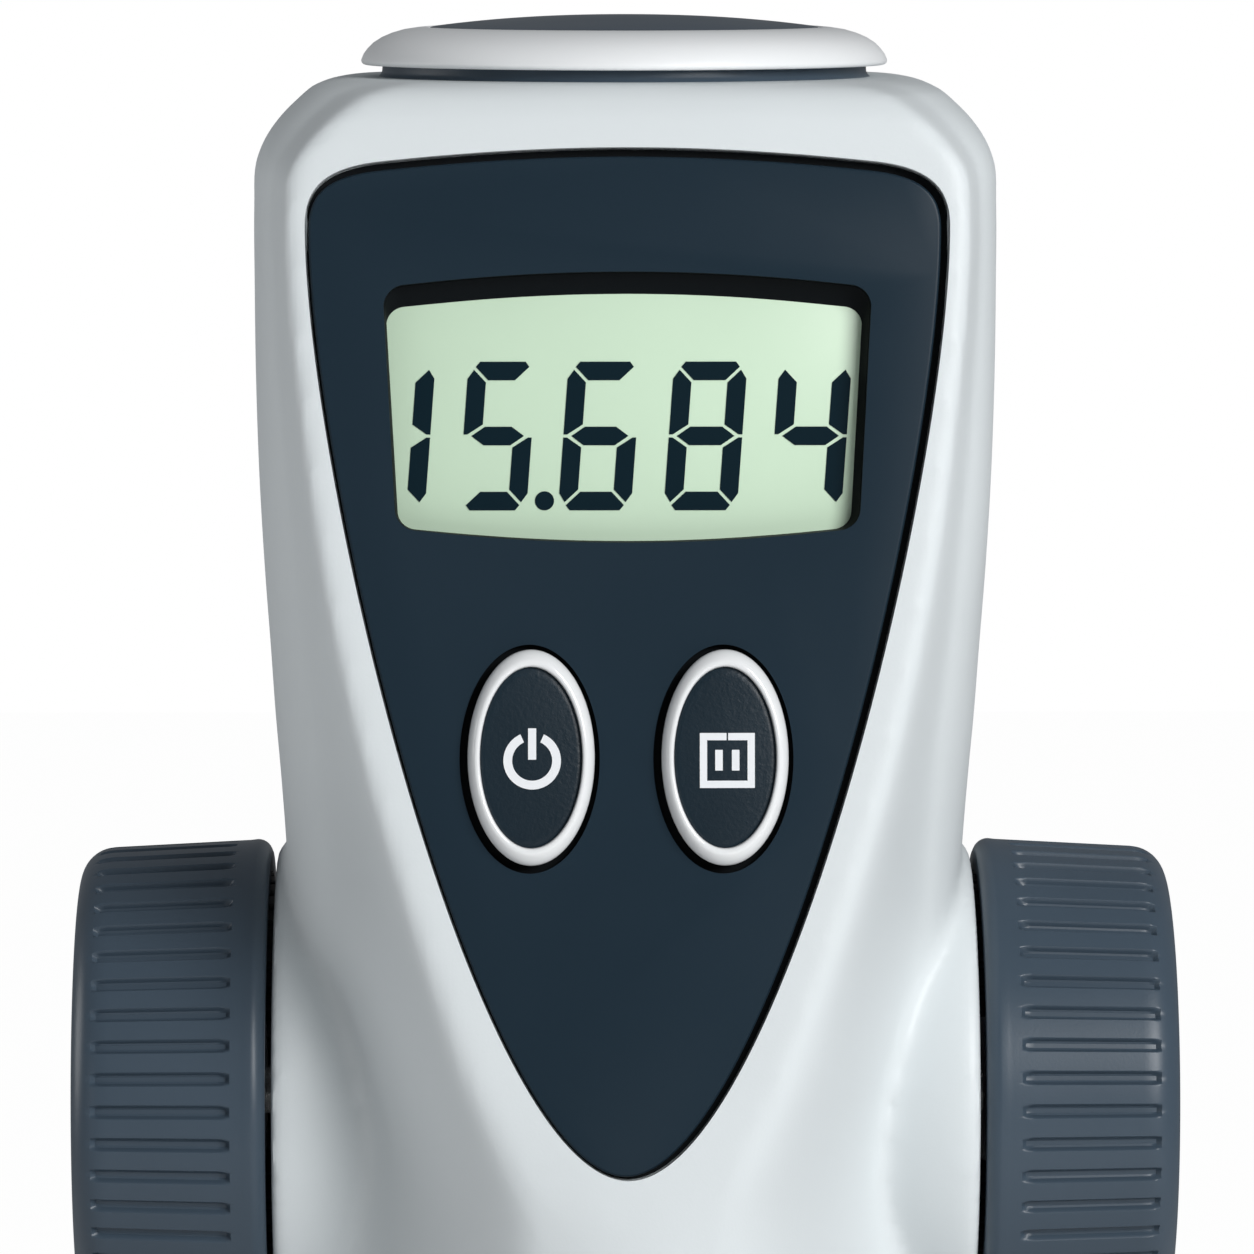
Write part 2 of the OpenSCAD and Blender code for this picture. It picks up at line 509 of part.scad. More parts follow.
module encoder_sensor() color(rubber) difference() {
  translate([-plate_x, axis_y - 16, axis_z - 5]) cube([8.5, 10.5, 10]);
  translate([-14.2, axis_y - 11, axis_z - 6]) cube([3.2, 9, 12]);
}
module piston_rod() color(steel) difference() {
  union() {
    translate([-rod_x, rod_back, piston_z + 7]) cube([2 * rod_x, rack_root - rod_back, rod_top - piston_z - 7]);
    for (k = [-28:2]) let(zc = gear_z + (k + 0.5) * PI * rack_m, w = PI * rack_m / 4 - backlash / 4,
      wr = w + 1.25 * rack_m * tan(pressure), wt = w - rack_m * tan(pressure))
      translate([-rod_x, 0, 0]) rotate([90, 0, 90]) linear_extrude(2 * rod_x) polygon([
        [rack_root - 0.2, zc - wr], [rack_root, zc - wr], [rack_tip, zc - wt], [rack_tip, zc + wt],
        [rack_root, zc + wr], [rack_root - 0.2, zc + wr]]);
  }
}
module piston() color(white) difference() {
  translate([0, 0, piston_z]) cylinder(r = cyl_r - 0.4, h = 13);
  translate([0, 0, piston_z + 3]) tube(cyl_r + 1, cyl_r - 2.2, 0, 5);
  translate([-rod_x, rod_back, piston_z + 7]) cube([2 * rod_x, rack_root - rod_back, 10]);
}
module piston_seal() color(rubber) tube(cyl_r - seal_gap, cyl_r - 2.2, piston_z + 3, piston_z + 8);

// ---- handwheels -----------------------------------------------------------
drop = tan(wheel_taper);
module wheel_body() difference() {
  rotate_extrude($fn = 96) polygon(concat(
    [[shaft_r, 0.8], [7.5, 0.8], [8.5, 12], [20.5, 12.5], [22.6, 10], [23, 0], [wheel_r - 0.5, 0], [wheel_r, 0.5]],
    [for (i = [0:6]) let(q = 15 * i, r = wheel_r - drop * (wheel_w - 3.6)) [r - 3.6 + 3.6 * cos(q), wheel_w - 3.6 + 3.6 * sin(q)]],
    [[20.5, wheel_w - 0.6], [18.5, wheel_w - 2], [9.2, wheel_w - 2.4], [9.2, 15.5], [1.6, 15.5], [1.6, 14], [shaft_r, 14]]));
  for (i = [0:groove_n - 1]) rotate(i * 360 / groove_n) translate([wheel_r - groove_d, -groove_w / 2, 3.6])
    rotate([0, -wheel_taper, 0]) cube([3, groove_w, groove_len]);
}
module right_wheel() translate([wheel_x, axis_y, axis_z]) rotate([0, 90, 0]) rotate(-3.75) children();
module left_wheel() mirror([1, 0, 0]) right_wheel() children();
module right_handwheel() color(slate) right_wheel() wheel_body();
module left_handwheel() color(slate) left_wheel() wheel_body();
module wheel_cap() rotate_extrude() polygon([[0, 17.5], [8, 17.5], [8, 15.5], [9.2, 15.5], [9.2, wheel_w - 2.4],
  [9.6, wheel_w - 2.3], [9.2, wheel_w - 1.5], [7, wheel_w - 0.9], [0, wheel_w - 0.6]]);
module right_wheel_cap() color(white) right_wheel() wheel_cap();
module left_wheel_cap() color(white) left_wheel() wheel_cap();
module wheel_screws() color(steel) for (s = [0, 1]) mirror([s, 0, 0]) right_wheel() difference() {
  union() { translate([0, 0, 6.5]) cylinder(r = 1.5, h = 9); translate([0, 0, 15.5]) cylinder(r = 2.9, h = 1.9); }
  translate([0, 0, 16.4]) cylinder(r = 1.3, h = 2, $fn = 6);
}

// ---- display head ---------------------------------------------------------
module wells(g) for (s = [-1, 1]) translate([s * button_x, button_h]) ell(button_a + g, button_b + g);
module front_panel() color(slate) on_panel() difference() {
  slab(panel_step, panel_step + panel_t) shield(-0.12);
  slab(0, 4) lcd_shape(0);
  slab(0, 4) wells(button_gap);
}
module display_frame() color(rubber) on_panel() difference() {
  slab(2.3, 3.6) translate([-25.4, 61.5]) square([50.8, 30.5]);
  slab(2, 4) lcd_shape(-0.3);
}
module display_module() color([0.76, 0.87, 0.7]) on_panel() slab(3.6, 5.6) translate([-25.4, 61.5]) square([50.8, 30.5]);
module main_board() color([0.1, 0.35, 0.2]) on_panel() difference() {
  union() {
    slab(6.2, 7.8) polygon([[-17, 27], [17, 27], [24, 58], [24, 97], [-24, 97], [-24, 58]]);
    slab(7.8, 9.4) translate([-6, 62]) square([12, 12]);
    slab(7.8, 9) translate([8, 40]) square([6, 9]);
    slab(5.6, 6.2) translate([-22, 66]) square([44, 20]);
  }
  for (s = [-1, 1]) for (p = [[21.5, 94.8], [14, 32]]) translate([s * p[0], 0, p[1]]) ycyl(1, 5, 9);
}
module board_screws() color(steel) on_panel() for (s = [-1, 1]) for (p = [[21.5, 94.8], [14, 32]])
  translate([s * p[0], 0, p[1]]) { ycyl(1, 6.2, 7.8); ycyl(1.9, 7.8, 9); }
module keypad_mat() color(rubber) on_panel() {
  slab(4.8, 6) translate([-17, 36]) square([34, 14]);
  for (s = [-1, 1]) translate([s * button_x, 0, button_h]) ycyl(3, 3.3 + button_travel + 0.1, 4.8);
}
module button(s) on_panel() translate([s * button_x, 0, button_h]) difference() {
  union() {
    slab(-0.9, 2.5) ell(button_a, button_b);
    slab(-1.3, -0.9) ell(button_a - 0.5, button_b - 0.5);
    slab(2.5, 3.3) ell(button_a + 1.3, button_b + 1.3);
  }
  slab(-2, -0.3) ell(button_a - 1.15, button_b - 1.15);
}
module insert(s) on_panel() translate([s * button_x, 0, button_h]) slab(-0.9, -0.3) ell(button_a - 1.2, button_b - 1.2);
module power_button() color(white) button(-1);
module power_button_insert() color(rubber) insert(-1);
module pause_button() color(white) button(1);
module pause_button_insert() color(rubber) insert(1);

// ---- top cap --------------------------------------------------------------
module top_cap_neck() color(slate) translate([0, neck_y, 0]) rotate_extrude($fn = 96) polygon([
  [deck_r - 2, deck_z - 2.3], [deck_r - 0.12, deck_z - 2.3], [deck_r - 0.12, deck_z], [25.4, deck_z],
  [24.9, deck_z + 0.5], [24.8, deck_z + 1.4], [deck_r - 2, deck_z + 1.4]]);
module top_cap_rim() color(white) translate([0, neck_y, 0]) rotate_extrude($fn = 96) polygon([
  [16, 259.6], [19, 258.1], [25.1, 258.1], [27.04, 258.4], [27.04, 258.7], [26.6, 259.5], [25.9, 260.1],
  [25.2, 260.8], [24.1, 261.4], [22.4, 261.8], [20.2, 262], [20.2, 261], [16, 261]]);
module top_cap_dome() color(slate) translate([0, neck_y, 0]) rotate_extrude($fn = 96) polygon(concat(
  [[0, 261], [20.1, 261], [20.1, 261.8]],
  [for (i = [1:6]) let(q = i / 6) [20.1 - 20.1 * q, 261.8 + 1.8 * (1 - pow(1 - q, 2.2))]]));

// ---- power and fasteners --------------------------------------------------
module battery_holder() color(rubber) difference() {
  translate([-holder_x, batt_y - batt_r - 1.15, door_z0 + 0.5]) cube([2 * holder_x, 2 * batt_r + 2.9, door_z1 - door_z0 - 1]);
  translate([1.4 - holder_x, batt_y - batt_r - 0.05, door_z0 + 2]) cube([2 * holder_x - 2.8, 20, door_z1 - door_z0 - 4]);
}
module batteries() color([0.2, 0.35, 0.5]) for (s = [-1, 1]) translate([s * batt_x, batt_y, batt_z]) {
  cylinder(r = batt_r, h = batt_len - 1);
  translate([0, 0, batt_len - 1]) cylinder(r = 1.9, h = 1);
}
module battery_contacts() color(steel) for (s = [-1, 1]) translate([s * batt_x, batt_y, 0]) {
  translate([-4, -4, door_z0 + 2]) cube([8, 8, 0.5]);
  translate([0, 0, door_z0 + 2.5]) cylinder(r1 = 3.6, r2 = 2, h = batt_z - door_z0 - 2.5);
  translate([-4, -4, batt_z + batt_len]) cube([8, 8, door_z1 - 2 - batt_z - batt_len]);
}
module housing_screws() color(steel) for (s = [-1, 1]) translate([s * screw_x, 0, screw_z]) {
  ycyl(1.2, -2, 30);
  difference() { ycyl(2.6, 29, 31); rotate([90, 0, 0]) translate([0, 0, -32]) cylinder(r = 1.3, h = 2, $fn = 6); }
}

valve_block();
bottle_gasket();
union_nut();
cylinder_seal();
glass_cylinder();
cylinder_collar();
shield_sleeve();
front_window();
rear_window();
filling_valve();
filling_tube_outer();
filling_tube_inner();
recirculation_tube();
vent_cap();
discharge_valve();
recirculation_knob();
arm_sleeve();
arm_slider();
tube_holder();
titrating_tube();
tip_cap();
front_housing();
rear_housing();
front_panel();
display_frame();
display_module();
main_board();
board_screws();
keypad_mat();
power_button();
power_button_insert();
pause_button();
pause_button_insert();
top_cap_neck();
top_cap_rim();
top_cap_dome();
left_handwheel();
right_handwheel();
left_wheel_cap();
right_wheel_cap();
wheel_screws();
wheel_shaft();
drive_pinion();
encoder_disc();
encoder_sensor();
gear_shaft();
reduction_gear();
rack_pinion();
retaining_clips();
shaft_bushes();
gear_frame();
frame_screws();
piston_rod();
piston();
piston_seal();
battery_holder();
batteries();
battery_contacts();
battery_door();
housing_screws();
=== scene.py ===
"""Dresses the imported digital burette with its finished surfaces, stage, lights and camera."""
import json
import math
from contextlib import contextmanager

import bmesh
import bpy
import numpy as np
from bpy.props import FloatProperty, IntProperty, PointerProperty, StringProperty
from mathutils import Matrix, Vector


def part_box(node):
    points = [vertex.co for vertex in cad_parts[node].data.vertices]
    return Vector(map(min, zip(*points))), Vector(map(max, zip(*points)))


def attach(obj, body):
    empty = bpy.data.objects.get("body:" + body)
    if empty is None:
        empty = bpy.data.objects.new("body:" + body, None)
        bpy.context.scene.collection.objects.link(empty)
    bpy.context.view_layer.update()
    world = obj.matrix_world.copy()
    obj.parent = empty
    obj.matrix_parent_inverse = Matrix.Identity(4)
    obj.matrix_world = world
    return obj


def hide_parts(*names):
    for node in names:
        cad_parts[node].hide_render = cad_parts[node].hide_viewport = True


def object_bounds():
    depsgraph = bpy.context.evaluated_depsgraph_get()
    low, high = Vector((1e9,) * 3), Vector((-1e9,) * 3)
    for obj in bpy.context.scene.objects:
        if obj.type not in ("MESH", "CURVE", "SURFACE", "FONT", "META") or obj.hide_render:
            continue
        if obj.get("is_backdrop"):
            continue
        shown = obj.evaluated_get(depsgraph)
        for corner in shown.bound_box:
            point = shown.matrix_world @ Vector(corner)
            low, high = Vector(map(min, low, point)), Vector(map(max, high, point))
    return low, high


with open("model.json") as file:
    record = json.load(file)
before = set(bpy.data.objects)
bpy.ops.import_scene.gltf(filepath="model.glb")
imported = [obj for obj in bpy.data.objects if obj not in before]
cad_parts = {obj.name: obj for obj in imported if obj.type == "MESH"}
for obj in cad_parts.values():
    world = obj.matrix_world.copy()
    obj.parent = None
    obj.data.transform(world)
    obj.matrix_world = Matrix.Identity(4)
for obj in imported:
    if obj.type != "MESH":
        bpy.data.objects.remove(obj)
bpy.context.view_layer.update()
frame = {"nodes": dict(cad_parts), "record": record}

bl_info = {
    "name": "Digital burette",
    "version": (1, 0, 0),
    "blender": (4, 5, 0),
    "location": "3D View > Sidebar > Burette",
    "description": "Builds the visible pieces, materials and stage of a bottle-top digital burette",
    "category": "Object",
}

MM = 0.001
TINY = 1e-9  # a radius below this is on the lathe's axis
WELD = 1e-8  # metres; closer points of one piece are one
PLASTIC_IOR = 1.46
LINE_SCALE = 900.0  # scale of the noise that draws brushed lines

# shaft and handwheels, in millimetres from the shaft's middle
WHEEL_INNER = 36.8
WHEEL_RADIUS = 26.3
WHEEL_WIDTH = 19.9
WHEEL_TAPER = math.tan(math.radians(3))
GROOVE_START, GROOVE_END = 3.6, 17.95
GROOVE_EDGE = 0.42  # width over which a groove's side falls
FIRST_GROOVE = math.radians(3.75)
SHAFT_BORE = 3.4

# keys, in panel millimetres
KEY_U, KEY_H = 9.6, 41.9  # middle of a key, across and up
KEY_A, KEY_B = 6.3, 10.7  # half width and half height
RING_STRETCH = 1.4  # the ring is wider at its ends than at its sides by this
RING_WIDTH = 1.26
WELL_A, WELL_B = 6.95, 11.35
# the wells sit a little left of and below the keys, so the black flange shows as a painted shadow on the left and at
# the foot
WELL_SHIFT = (-0.15, -0.15)
ICON_FRONT, ICON_BACK = -0.86, -0.7

# panel and display window, in panel millimetres
POCKET_FRONT, POCKET_BACK = -8, 2.4
WINDOW_HALF, WINDOW_TOP, WINDOW_FOOT = 24.2, 88.8, 64.4
WINDOW_TAPER = 1.1  # the window is this much narrower on each side at its foot
WINDOW_CORNER = 2.2
BOW_TOP, BOW_FOOT = 1.3, 1.2
BEZEL_FRONT, BEZEL_BACK = 2.3, 3.6
GLASS_FRONT, GLASS_BACK = 3.62, 5.6
DIGIT_FRONT, DIGIT_BACK = 3.55, 3.63

# top cap
CAP_Y = 4
CAP_DROP = 0.62  # the photo shows the cap this much lower than the solids have it


# ---- settings
def length(name, description, millimetres):
    """A length for the sidebar."""
    return FloatProperty(name=name, description=description, default=millimetres * MM, unit="LENGTH")


def colour(name, things, default):
    """A colour for the sidebar."""
    return StringProperty(name=name, description="sRGB colour of the " + things, default=default)


class BuretteSizes(bpy.types.PropertyGroup):
    """Sizes that can be set in the sidebar"""
    tilt: FloatProperty(
        name="Panel lean", description="Lean of the display panel", default=math.radians(6.5), subtype="ANGLE")
    tip_y: length("Panel tip depth", "Depth of the panel's lower tip", -38)
    tip_z: length("Panel tip height", "Height of the panel's lower tip", 148.3)
    axis_y: length("Wheel axis depth", "Depth of the handwheel axis", 10)
    axis_z: length("Wheel axis height", "Height of the handwheel axis", 150)
    wall: length("Shell wall", "Wall thickness of the head's shells", 2.4)
    voxel: length("Shell grain", "Size of the shell's mesh cells", 0.75)
    groove_count: IntProperty(name="Grip grooves", description="Grooves round a handwheel", default=48)
    groove_width: length("Groove width", "Width of a grip groove", 1.5)
    groove_depth: length("Groove depth", "Depth of a grip groove", 0.72)
    reading: StringProperty(name="Reading", description="Digits shown on the display", default="15.684")


class BuretteColours(bpy.types.PropertyGroup):
    """Colours that can be set in the sidebar"""
    shell: colour("Shell", "head's shells", "#DCE2E4")
    slate: colour("Slate", "wheels, cap and adapter", "#3F4D5A")
    panel: colour("Panel", "shield panel", "#1F2E39")
    ring: colour("Button ring", "button rings", "#EDEFF0")
    insert: colour("Button insert", "button inserts", "#12242F")
    icon: colour("Icon", "button icons", "#EEF1F4")
    lcd: colour("Display", "display", "#D0E8CE")
    segment: colour("Digits", "display's digits", "#041D27")


def sizes():
    """The sizes of the open scene."""
    return bpy.context.scene.burette_sizes


# ---- small tools
def linear(hex_colour):
    """sRGB hex to the linear colour that a shader socket takes."""
    h = hex_colour.lstrip("#")
    out = []
    for i in (0, 2, 4):
        c = int(h[i:i + 2], 16) / 255
        out.append(c / 12.92 if c <= 0.04045 else ((c + 0.055) / 1.055) ** 2.4)
    return (*out, 1.0)


def add(tree, kind, settings=None, values=None, links=None):
    """Adds a node with its settings, socket values and incoming links."""
    n = tree.nodes.new(kind)
    for k, v in (settings or {}).items():
        setattr(n, k, v)
    for k, v in (values or {}).items():
        n.inputs[k].default_value = v
    for k, v in (links or {}).items():
        tree.links.new(v, n.inputs[k])
    return n


def blank_material(name):
    """A material with an empty node tree."""
    m = bpy.data.materials.new(name)
    m.use_nodes = True
    m.node_tree.nodes.clear()
    return m, m.node_tree


def maths(tree, operation, values, links):
    """The result of one arithmetic node."""
    return add(tree, "ShaderNodeMath", {"operation": operation}, values, links).outputs[0]


def noise(tree, scale, detail, place=None, rough=0.5):
    """A noise over the object's own coordinates, or over those given."""
    place = place or add(tree, "ShaderNodeTexCoord").outputs["Object"]
    values = {"Scale": scale, "Detail": detail, "Roughness": rough}
    return add(tree, "ShaderNodeTexNoise", None, values, {"Vector": place})


def bump(tree, height, strength, distance):
    """A bump from a noise, as a normal."""
    values = {"Strength": strength, "Distance": distance}
    return add(tree, "ShaderNodeBump", None, values, {"Height": height.outputs["Fac"]}).outputs["Normal"]


def gloss(tree, cloud, low, high):
    """Roughness between low and high, following a noise."""
    values = {"From Min": 0.3, "From Max": 0.7, "To Min": low, "To Max": high}
    return add(tree, "ShaderNodeMapRange", None, values, {"Value": cloud.outputs["Fac"]}).outputs["Result"]


def finish_with(tree, values, links):
    """The Principled shader and the output that end a tree."""
    shader = add(tree, "ShaderNodeBsdfPrincipled", None, values, links)
    add(tree, "ShaderNodeOutputMaterial", None, None, {"Surface": shader.outputs["BSDF"]})


def moulded(name, hex_colour, rough, rough_spread, grain_mm, grain_bump,
            spec=0.5, coat=0.0, coat_rough=0.1, shade=0.04):
    """Moulded plastic with a fine grain, uneven gloss and a hint of colour drift."""
    m, t = blank_material(name)
    base = linear(hex_colour)
    grain = noise(t, 1000 / grain_mm, 3.0, rough=0.6)
    cloud = noise(t, 45.0, 2.0)
    ramp = add(t, "ShaderNodeValToRGB", None, None, {"Fac": cloud.outputs["Fac"]})
    dark, light = ramp.color_ramp.elements[0], ramp.color_ramp.elements[1]
    dark.position, light.position = 0.3, 0.7
    dark.color, light.color = tuple(c * (1 - shade) for c in base[:3]) + (1,), base
    finish_with(t, {"Specular IOR Level": spec, "Coat Weight": coat, "Coat Roughness": coat_rough, "IOR": PLASTIC_IOR},
                {"Base Color": ramp.outputs["Color"], "Normal": bump(t, grain, grain_bump, 0.00004),
                 "Roughness": gloss(t, cloud, rough - rough_spread, rough + rough_spread)})
    return m


def metal(name, hex_colour, rough, brush_axis=2, stretch=40.0):
    """Bright metal with turned or brushed lines along one axis."""
    m, t = blank_material(name)
    co = add(t, "ShaderNodeTexCoord")
    scale = [LINE_SCALE] * 3
    scale[brush_axis] /= stretch
    place = add(t, "ShaderNodeMapping", None, {"Scale": scale}, {"Vector": co.outputs["Object"]})
    lines = noise(t, 1.0, 4.0, place.outputs["Vector"])
    finish_with(t, {"Base Color": linear(hex_colour), "Metallic": 1.0},
                {"Roughness": gloss(t, lines, rough * 0.75, rough * 1.25), "Normal": bump(t, lines, 0.2, 0.00003)})
    return m


def see_through(name, hex_colour, rough, ior, weight):
    """Clear glass or tinted plastic: transmission with a faint ripple in the surface."""
    m, t = blank_material(name)
    finish_with(t, {"Base Color": linear(hex_colour), "Roughness": rough, "IOR": ior, "Transmission Weight": weight},
                {"Normal": bump(t, noise(t, 120.0, 1.0), 0.05, 0.0002)})
    return m


# ---- mesh tools
def linked(name, mesh):
    """An object with this mesh, in the scene."""
    o = bpy.data.objects.new(name, mesh)
    bpy.context.scene.collection.objects.link(o)
    return o


@contextmanager
def edited(mesh):
    """The mesh as a bmesh, written back at the end."""
    bm = bmesh.new()
    bm.from_mesh(mesh)
    yield bm
    bm.to_mesh(mesh)
    bm.free()


def piece(name, verts, faces, material, weld=None):
    """A mesh object; weld merges close points and turns the normals outwards."""
    me = bpy.data.meshes.new(name)
    me.from_pydata([tuple(v) for v in verts], [], [tuple(f) for f in faces])
    me.validate()
    me.materials.append(material)
    o = linked(name, me)
    if weld:
        fix_normals(o, weld)
    return o


def smooth(o, degrees):
    """Smooth shading, with every edge sharper than this many degrees marked sharp."""
    limit = math.radians(degrees)
    with edited(o.data) as bm:
        for e in bm.edges:
            e.smooth = not (len(e.link_faces) == 2 and e.calc_face_angle(0) > limit)
        for f in bm.faces:
            f.smooth = True


def fix_normals(o, merge):
    """Merges points closer than merge (metres) and turns all normals outwards."""
    with edited(o.data) as bm:
        bmesh.ops.remove_doubles(bm, verts=bm.verts, dist=merge)
        bmesh.ops.recalc_face_normals(bm, faces=bm.faces)


def bake(o):
    """Turns an object's modifiers into its mesh."""
    dg = bpy.context.evaluated_depsgraph_get()
    me = bpy.data.meshes.new_from_object(o.evaluated_get(dg))
    if not me.polygons:
        raise RuntimeError(o.name + " has no faces left")
    mats = [s.material for s in o.material_slots]
    o.modifiers.clear()
    o.data = me
    if not me.materials:
        for m in mats:
            me.materials.append(m)
    return o


def modify(o, kind, **settings):
    """Adds one modifier and bakes it."""
    md = o.modifiers.new(kind.lower(), kind)
    for k, v in settings.items():
        setattr(md, k, v)
    return bake(o)


def cut(o, *cutters):
    """Takes each cutter's form out of the object, and removes the cutters."""
    for c in cutters:
        modify(o, "BOOLEAN", operation="DIFFERENCE", solver="EXACT", object=c)
        bpy.data.objects.remove(c)


def rounded(o, width, segments, angle):
    """Bevels the edges that are sharper than the angle."""
    modify(o, "BEVEL", width=width, segments=segments, limit_method="ANGLE", angle_limit=math.radians(angle))


def merged(name, parts):
    """Joins several objects into one, with the first one's material."""
    me = bpy.data.meshes.new(name)
    with edited(me) as bm:
        for p in parts:
            bm.from_mesh(p.data)
    me.materials.append(parts[0].data.materials[0])
    for p in parts:
        bpy.data.objects.remove(p)
    return linked(name, me)


def quads(a, b, n):
    """Faces between two closed rows of n points that start at a and b."""
    return [(a + i, a + (i + 1) % n, b + (i + 1) % n, b + i) for i in range(n)]


def box_mesh(name, lo, hi, material):
    """A box between two corners in millimetres, for cutting."""
    v = [(x * MM, y * MM, z * MM) for x in (lo[0], hi[0]) for y in (lo[1], hi[1]) for z in (lo[2], hi[2])]
    f = [(0, 1, 3, 2), (4, 6, 7, 5), (0, 4, 5, 1), (2, 3, 7, 6), (0, 2, 6, 4), (1, 5, 7, 3)]
    return piece(name, v, f, material, WELD)


def turned(angle, r):
    """A point at this angle (radians) and radius."""
    return r * math.cos(angle), r * math.sin(angle)


def lathe(name, profile, material, steps, centre, axis="Z", flip=False):
    """Turns an (r, z) profile in millimetres round an axis."""
    verts, faces, rows = [], [], []
    for r, z in profile:
        if r < TINY:
            rows.append([len(verts)])
            verts.append((0, 0, z))
        else:
            rows.append(list(range(len(verts), len(verts) + steps)))
            verts += [(*turned(2 * math.pi * i / steps, r), z) for i in range(steps)]
    closed = profile[0][0] > TINY and profile[-1][0] > TINY
    pairs = list(zip(rows, rows[1:])) + ([(rows[-1], rows[0])] if closed else [])
    for a, b in pairs:
        if len(a) == 1 and len(b) == 1:
            continue
        for i in range(steps):
            j = (i + 1) % steps
            if len(a) == 1:
                faces.append((a[0], b[i], b[j]))
            elif len(b) == 1:
                faces.append((a[i], b[0], a[j]))
            else:
                faces.append((a[i], b[i], b[j], a[j]))
    cx, cy, cz = centre
    out = []
    for x, y, z in verts:
        if axis == "X":
            x, y, z = (-z if flip else z), y, x
        elif axis == "-Y":
            x, y, z = x, -z, y
        out.append(((x + cx) * MM, (y + cy) * MM, (z + cz) * MM))
    return piece(name, out, faces, material, 1e-7)


def arc(cx, cz, r, a0, a1, n):
    """Points on an arc for a lathe profile, angles in degrees."""
    turns = [math.radians(a0 + (a1 - a0) * i / n) for i in range(n + 1)]
    return [(cx + r * math.cos(q), cz + r * math.sin(q)) for q in turns]


# ---- panel coordinates
def on_panel(u, h, d):
    """Panel place in millimetres (across, up, depth into the head) to metres."""
    s = sizes()
    c, n = math.cos(s.tilt), math.sin(s.tilt)
    return (u * MM, s.tip_y + (h * n + d * c) * MM, s.tip_z + (h * c - d * n) * MM)


def depth_of(point):
    """Depth in millimetres of a place behind the panel's plane."""
    s = sizes()
    return ((point[1] - s.tip_y) * math.cos(s.tilt) - (point[2] - s.tip_z) * math.sin(s.tilt)) / MM


def bez(a, b, c, d, n):
    """A cubic curve through a and d, in n steps."""
    t = np.linspace(0, 1, n + 1)[:, None]
    a, b, c, d = (np.array(p, float) for p in (a, b, c, d))
    return a * (1 - t) ** 3 + 3 * b * t * (1 - t) ** 2 + 3 * c * t * t * (1 - t) + d * t ** 3


def shield_outline(offset=0.0):
    """The shield's closed outline, drawn in or out by offset, in panel millimetres."""
    tip, side_end, corner_end, top_middle = (0, 0), (32, 94.6), (24, 101.05), (0, 102.4)
    side = bez(tip, (15, 0), (32, 70), side_end, 70)
    corner = bez(side_end, (32, 98.6), (29.8, 100.5), corner_end, 16)
    top = bez(corner_end, (16, 101.9), (8, 102.4), top_middle, 16)
    right = np.vstack([side, corner[1:], top[1:]])
    left = right[1:-1][::-1] * (-1, 1)
    return grow(np.vstack([right, left]), offset)


def grow(ring, offset):
    """Moves a counter-clockwise ring outwards."""
    if not offset:
        return ring
    tangent = np.roll(ring, -1, 0) - np.roll(ring, 1, 0)
    tangent /= np.linalg.norm(tangent, axis=1)[:, None]
    return ring + offset * np.c_[tangent[:, 1], -tangent[:, 0]]


def display_outline(offset=0.0):
    """The display window: leaning sides, bowed top and foot, round corners."""
    r, inset = WINDOW_CORNER, WINDOW_CORNER + 1.5
    top_x, foot_x = WINDOW_HALF - r, WINDOW_HALF - WINDOW_TAPER - r
    top_y, foot_y = WINDOW_TOP - r, WINDOW_FOOT + r
    pts = []
    for cx, cy, start in ((top_x, top_y, 0), (-top_x, top_y, 90), (-foot_x, foot_y, 180), (foot_x, foot_y, 270)):
        if start == 90:
            end = WINDOW_HALF - inset
            pts += [(x, WINDOW_TOP + BOW_TOP * (1 - (x / top_x) ** 2)) for x in np.linspace(end, -end, 21)]
        if start == 270:
            end = WINDOW_HALF - WINDOW_TAPER - inset
            pts += [(x, WINDOW_FOOT - BOW_FOOT * (1 - (x / foot_x) ** 2)) for x in np.linspace(-end, end, 21)]
        for q in np.radians(start + np.linspace(4, 86, 10)):
            pts.append((cx + r * math.cos(q), cy + r * math.sin(q)))
    return grow(np.array(pts), offset)


def oval(cu, ch, a, b):
    """An ellipse in panel millimetres."""
    t = np.linspace(0, 2 * np.pi, 96, endpoint=False)
    return np.c_[cu + a * np.cos(t), ch + b * np.sin(t)]


def prism(name, ring, d0, d1, material):
    """A closed solid between depths d0 (front) and d1 (back) of the panel."""
    n = len(ring)
    verts = [on_panel(u, h, d0) for u, h in ring] + [on_panel(u, h, d1) for u, h in ring]
    faces = [tuple(range(n)), tuple(range(2 * n - 1, n - 1, -1))]
    faces += [(i, n + i, n + (i + 1) % n, (i + 1) % n) for i in range(n)]
    return piece(name, verts, faces, material, WELD)


def skinned(name, rings, material, capped=True):
    """Skins equal rings, each (ring, depth), into a capped solid, or into a closed hollow ring."""
    n, count = len(rings[0][0]), len(rings)
    verts = [on_panel(u, h, d) for ring, d in rings for u, h in ring]
    faces = []
    for k in range(count - 1 if capped else count):
        faces += quads(k * n, (k + 1) % count * n, n)
    if capped:
        faces += [tuple(range(n)), tuple(range(count * n - 1, (count - 1) * n - 1, -1))]
    return piece(name, verts, faces, material, WELD)


def paint_shadow_black(o, in_shadow):
    """Paints black, as painted shadow, the faces that the given test picks out."""
    o.data.materials.append(FINISH["black_plastic"])
    for f in o.data.polygons:
        if in_shadow(f):
            f.material_index = 1


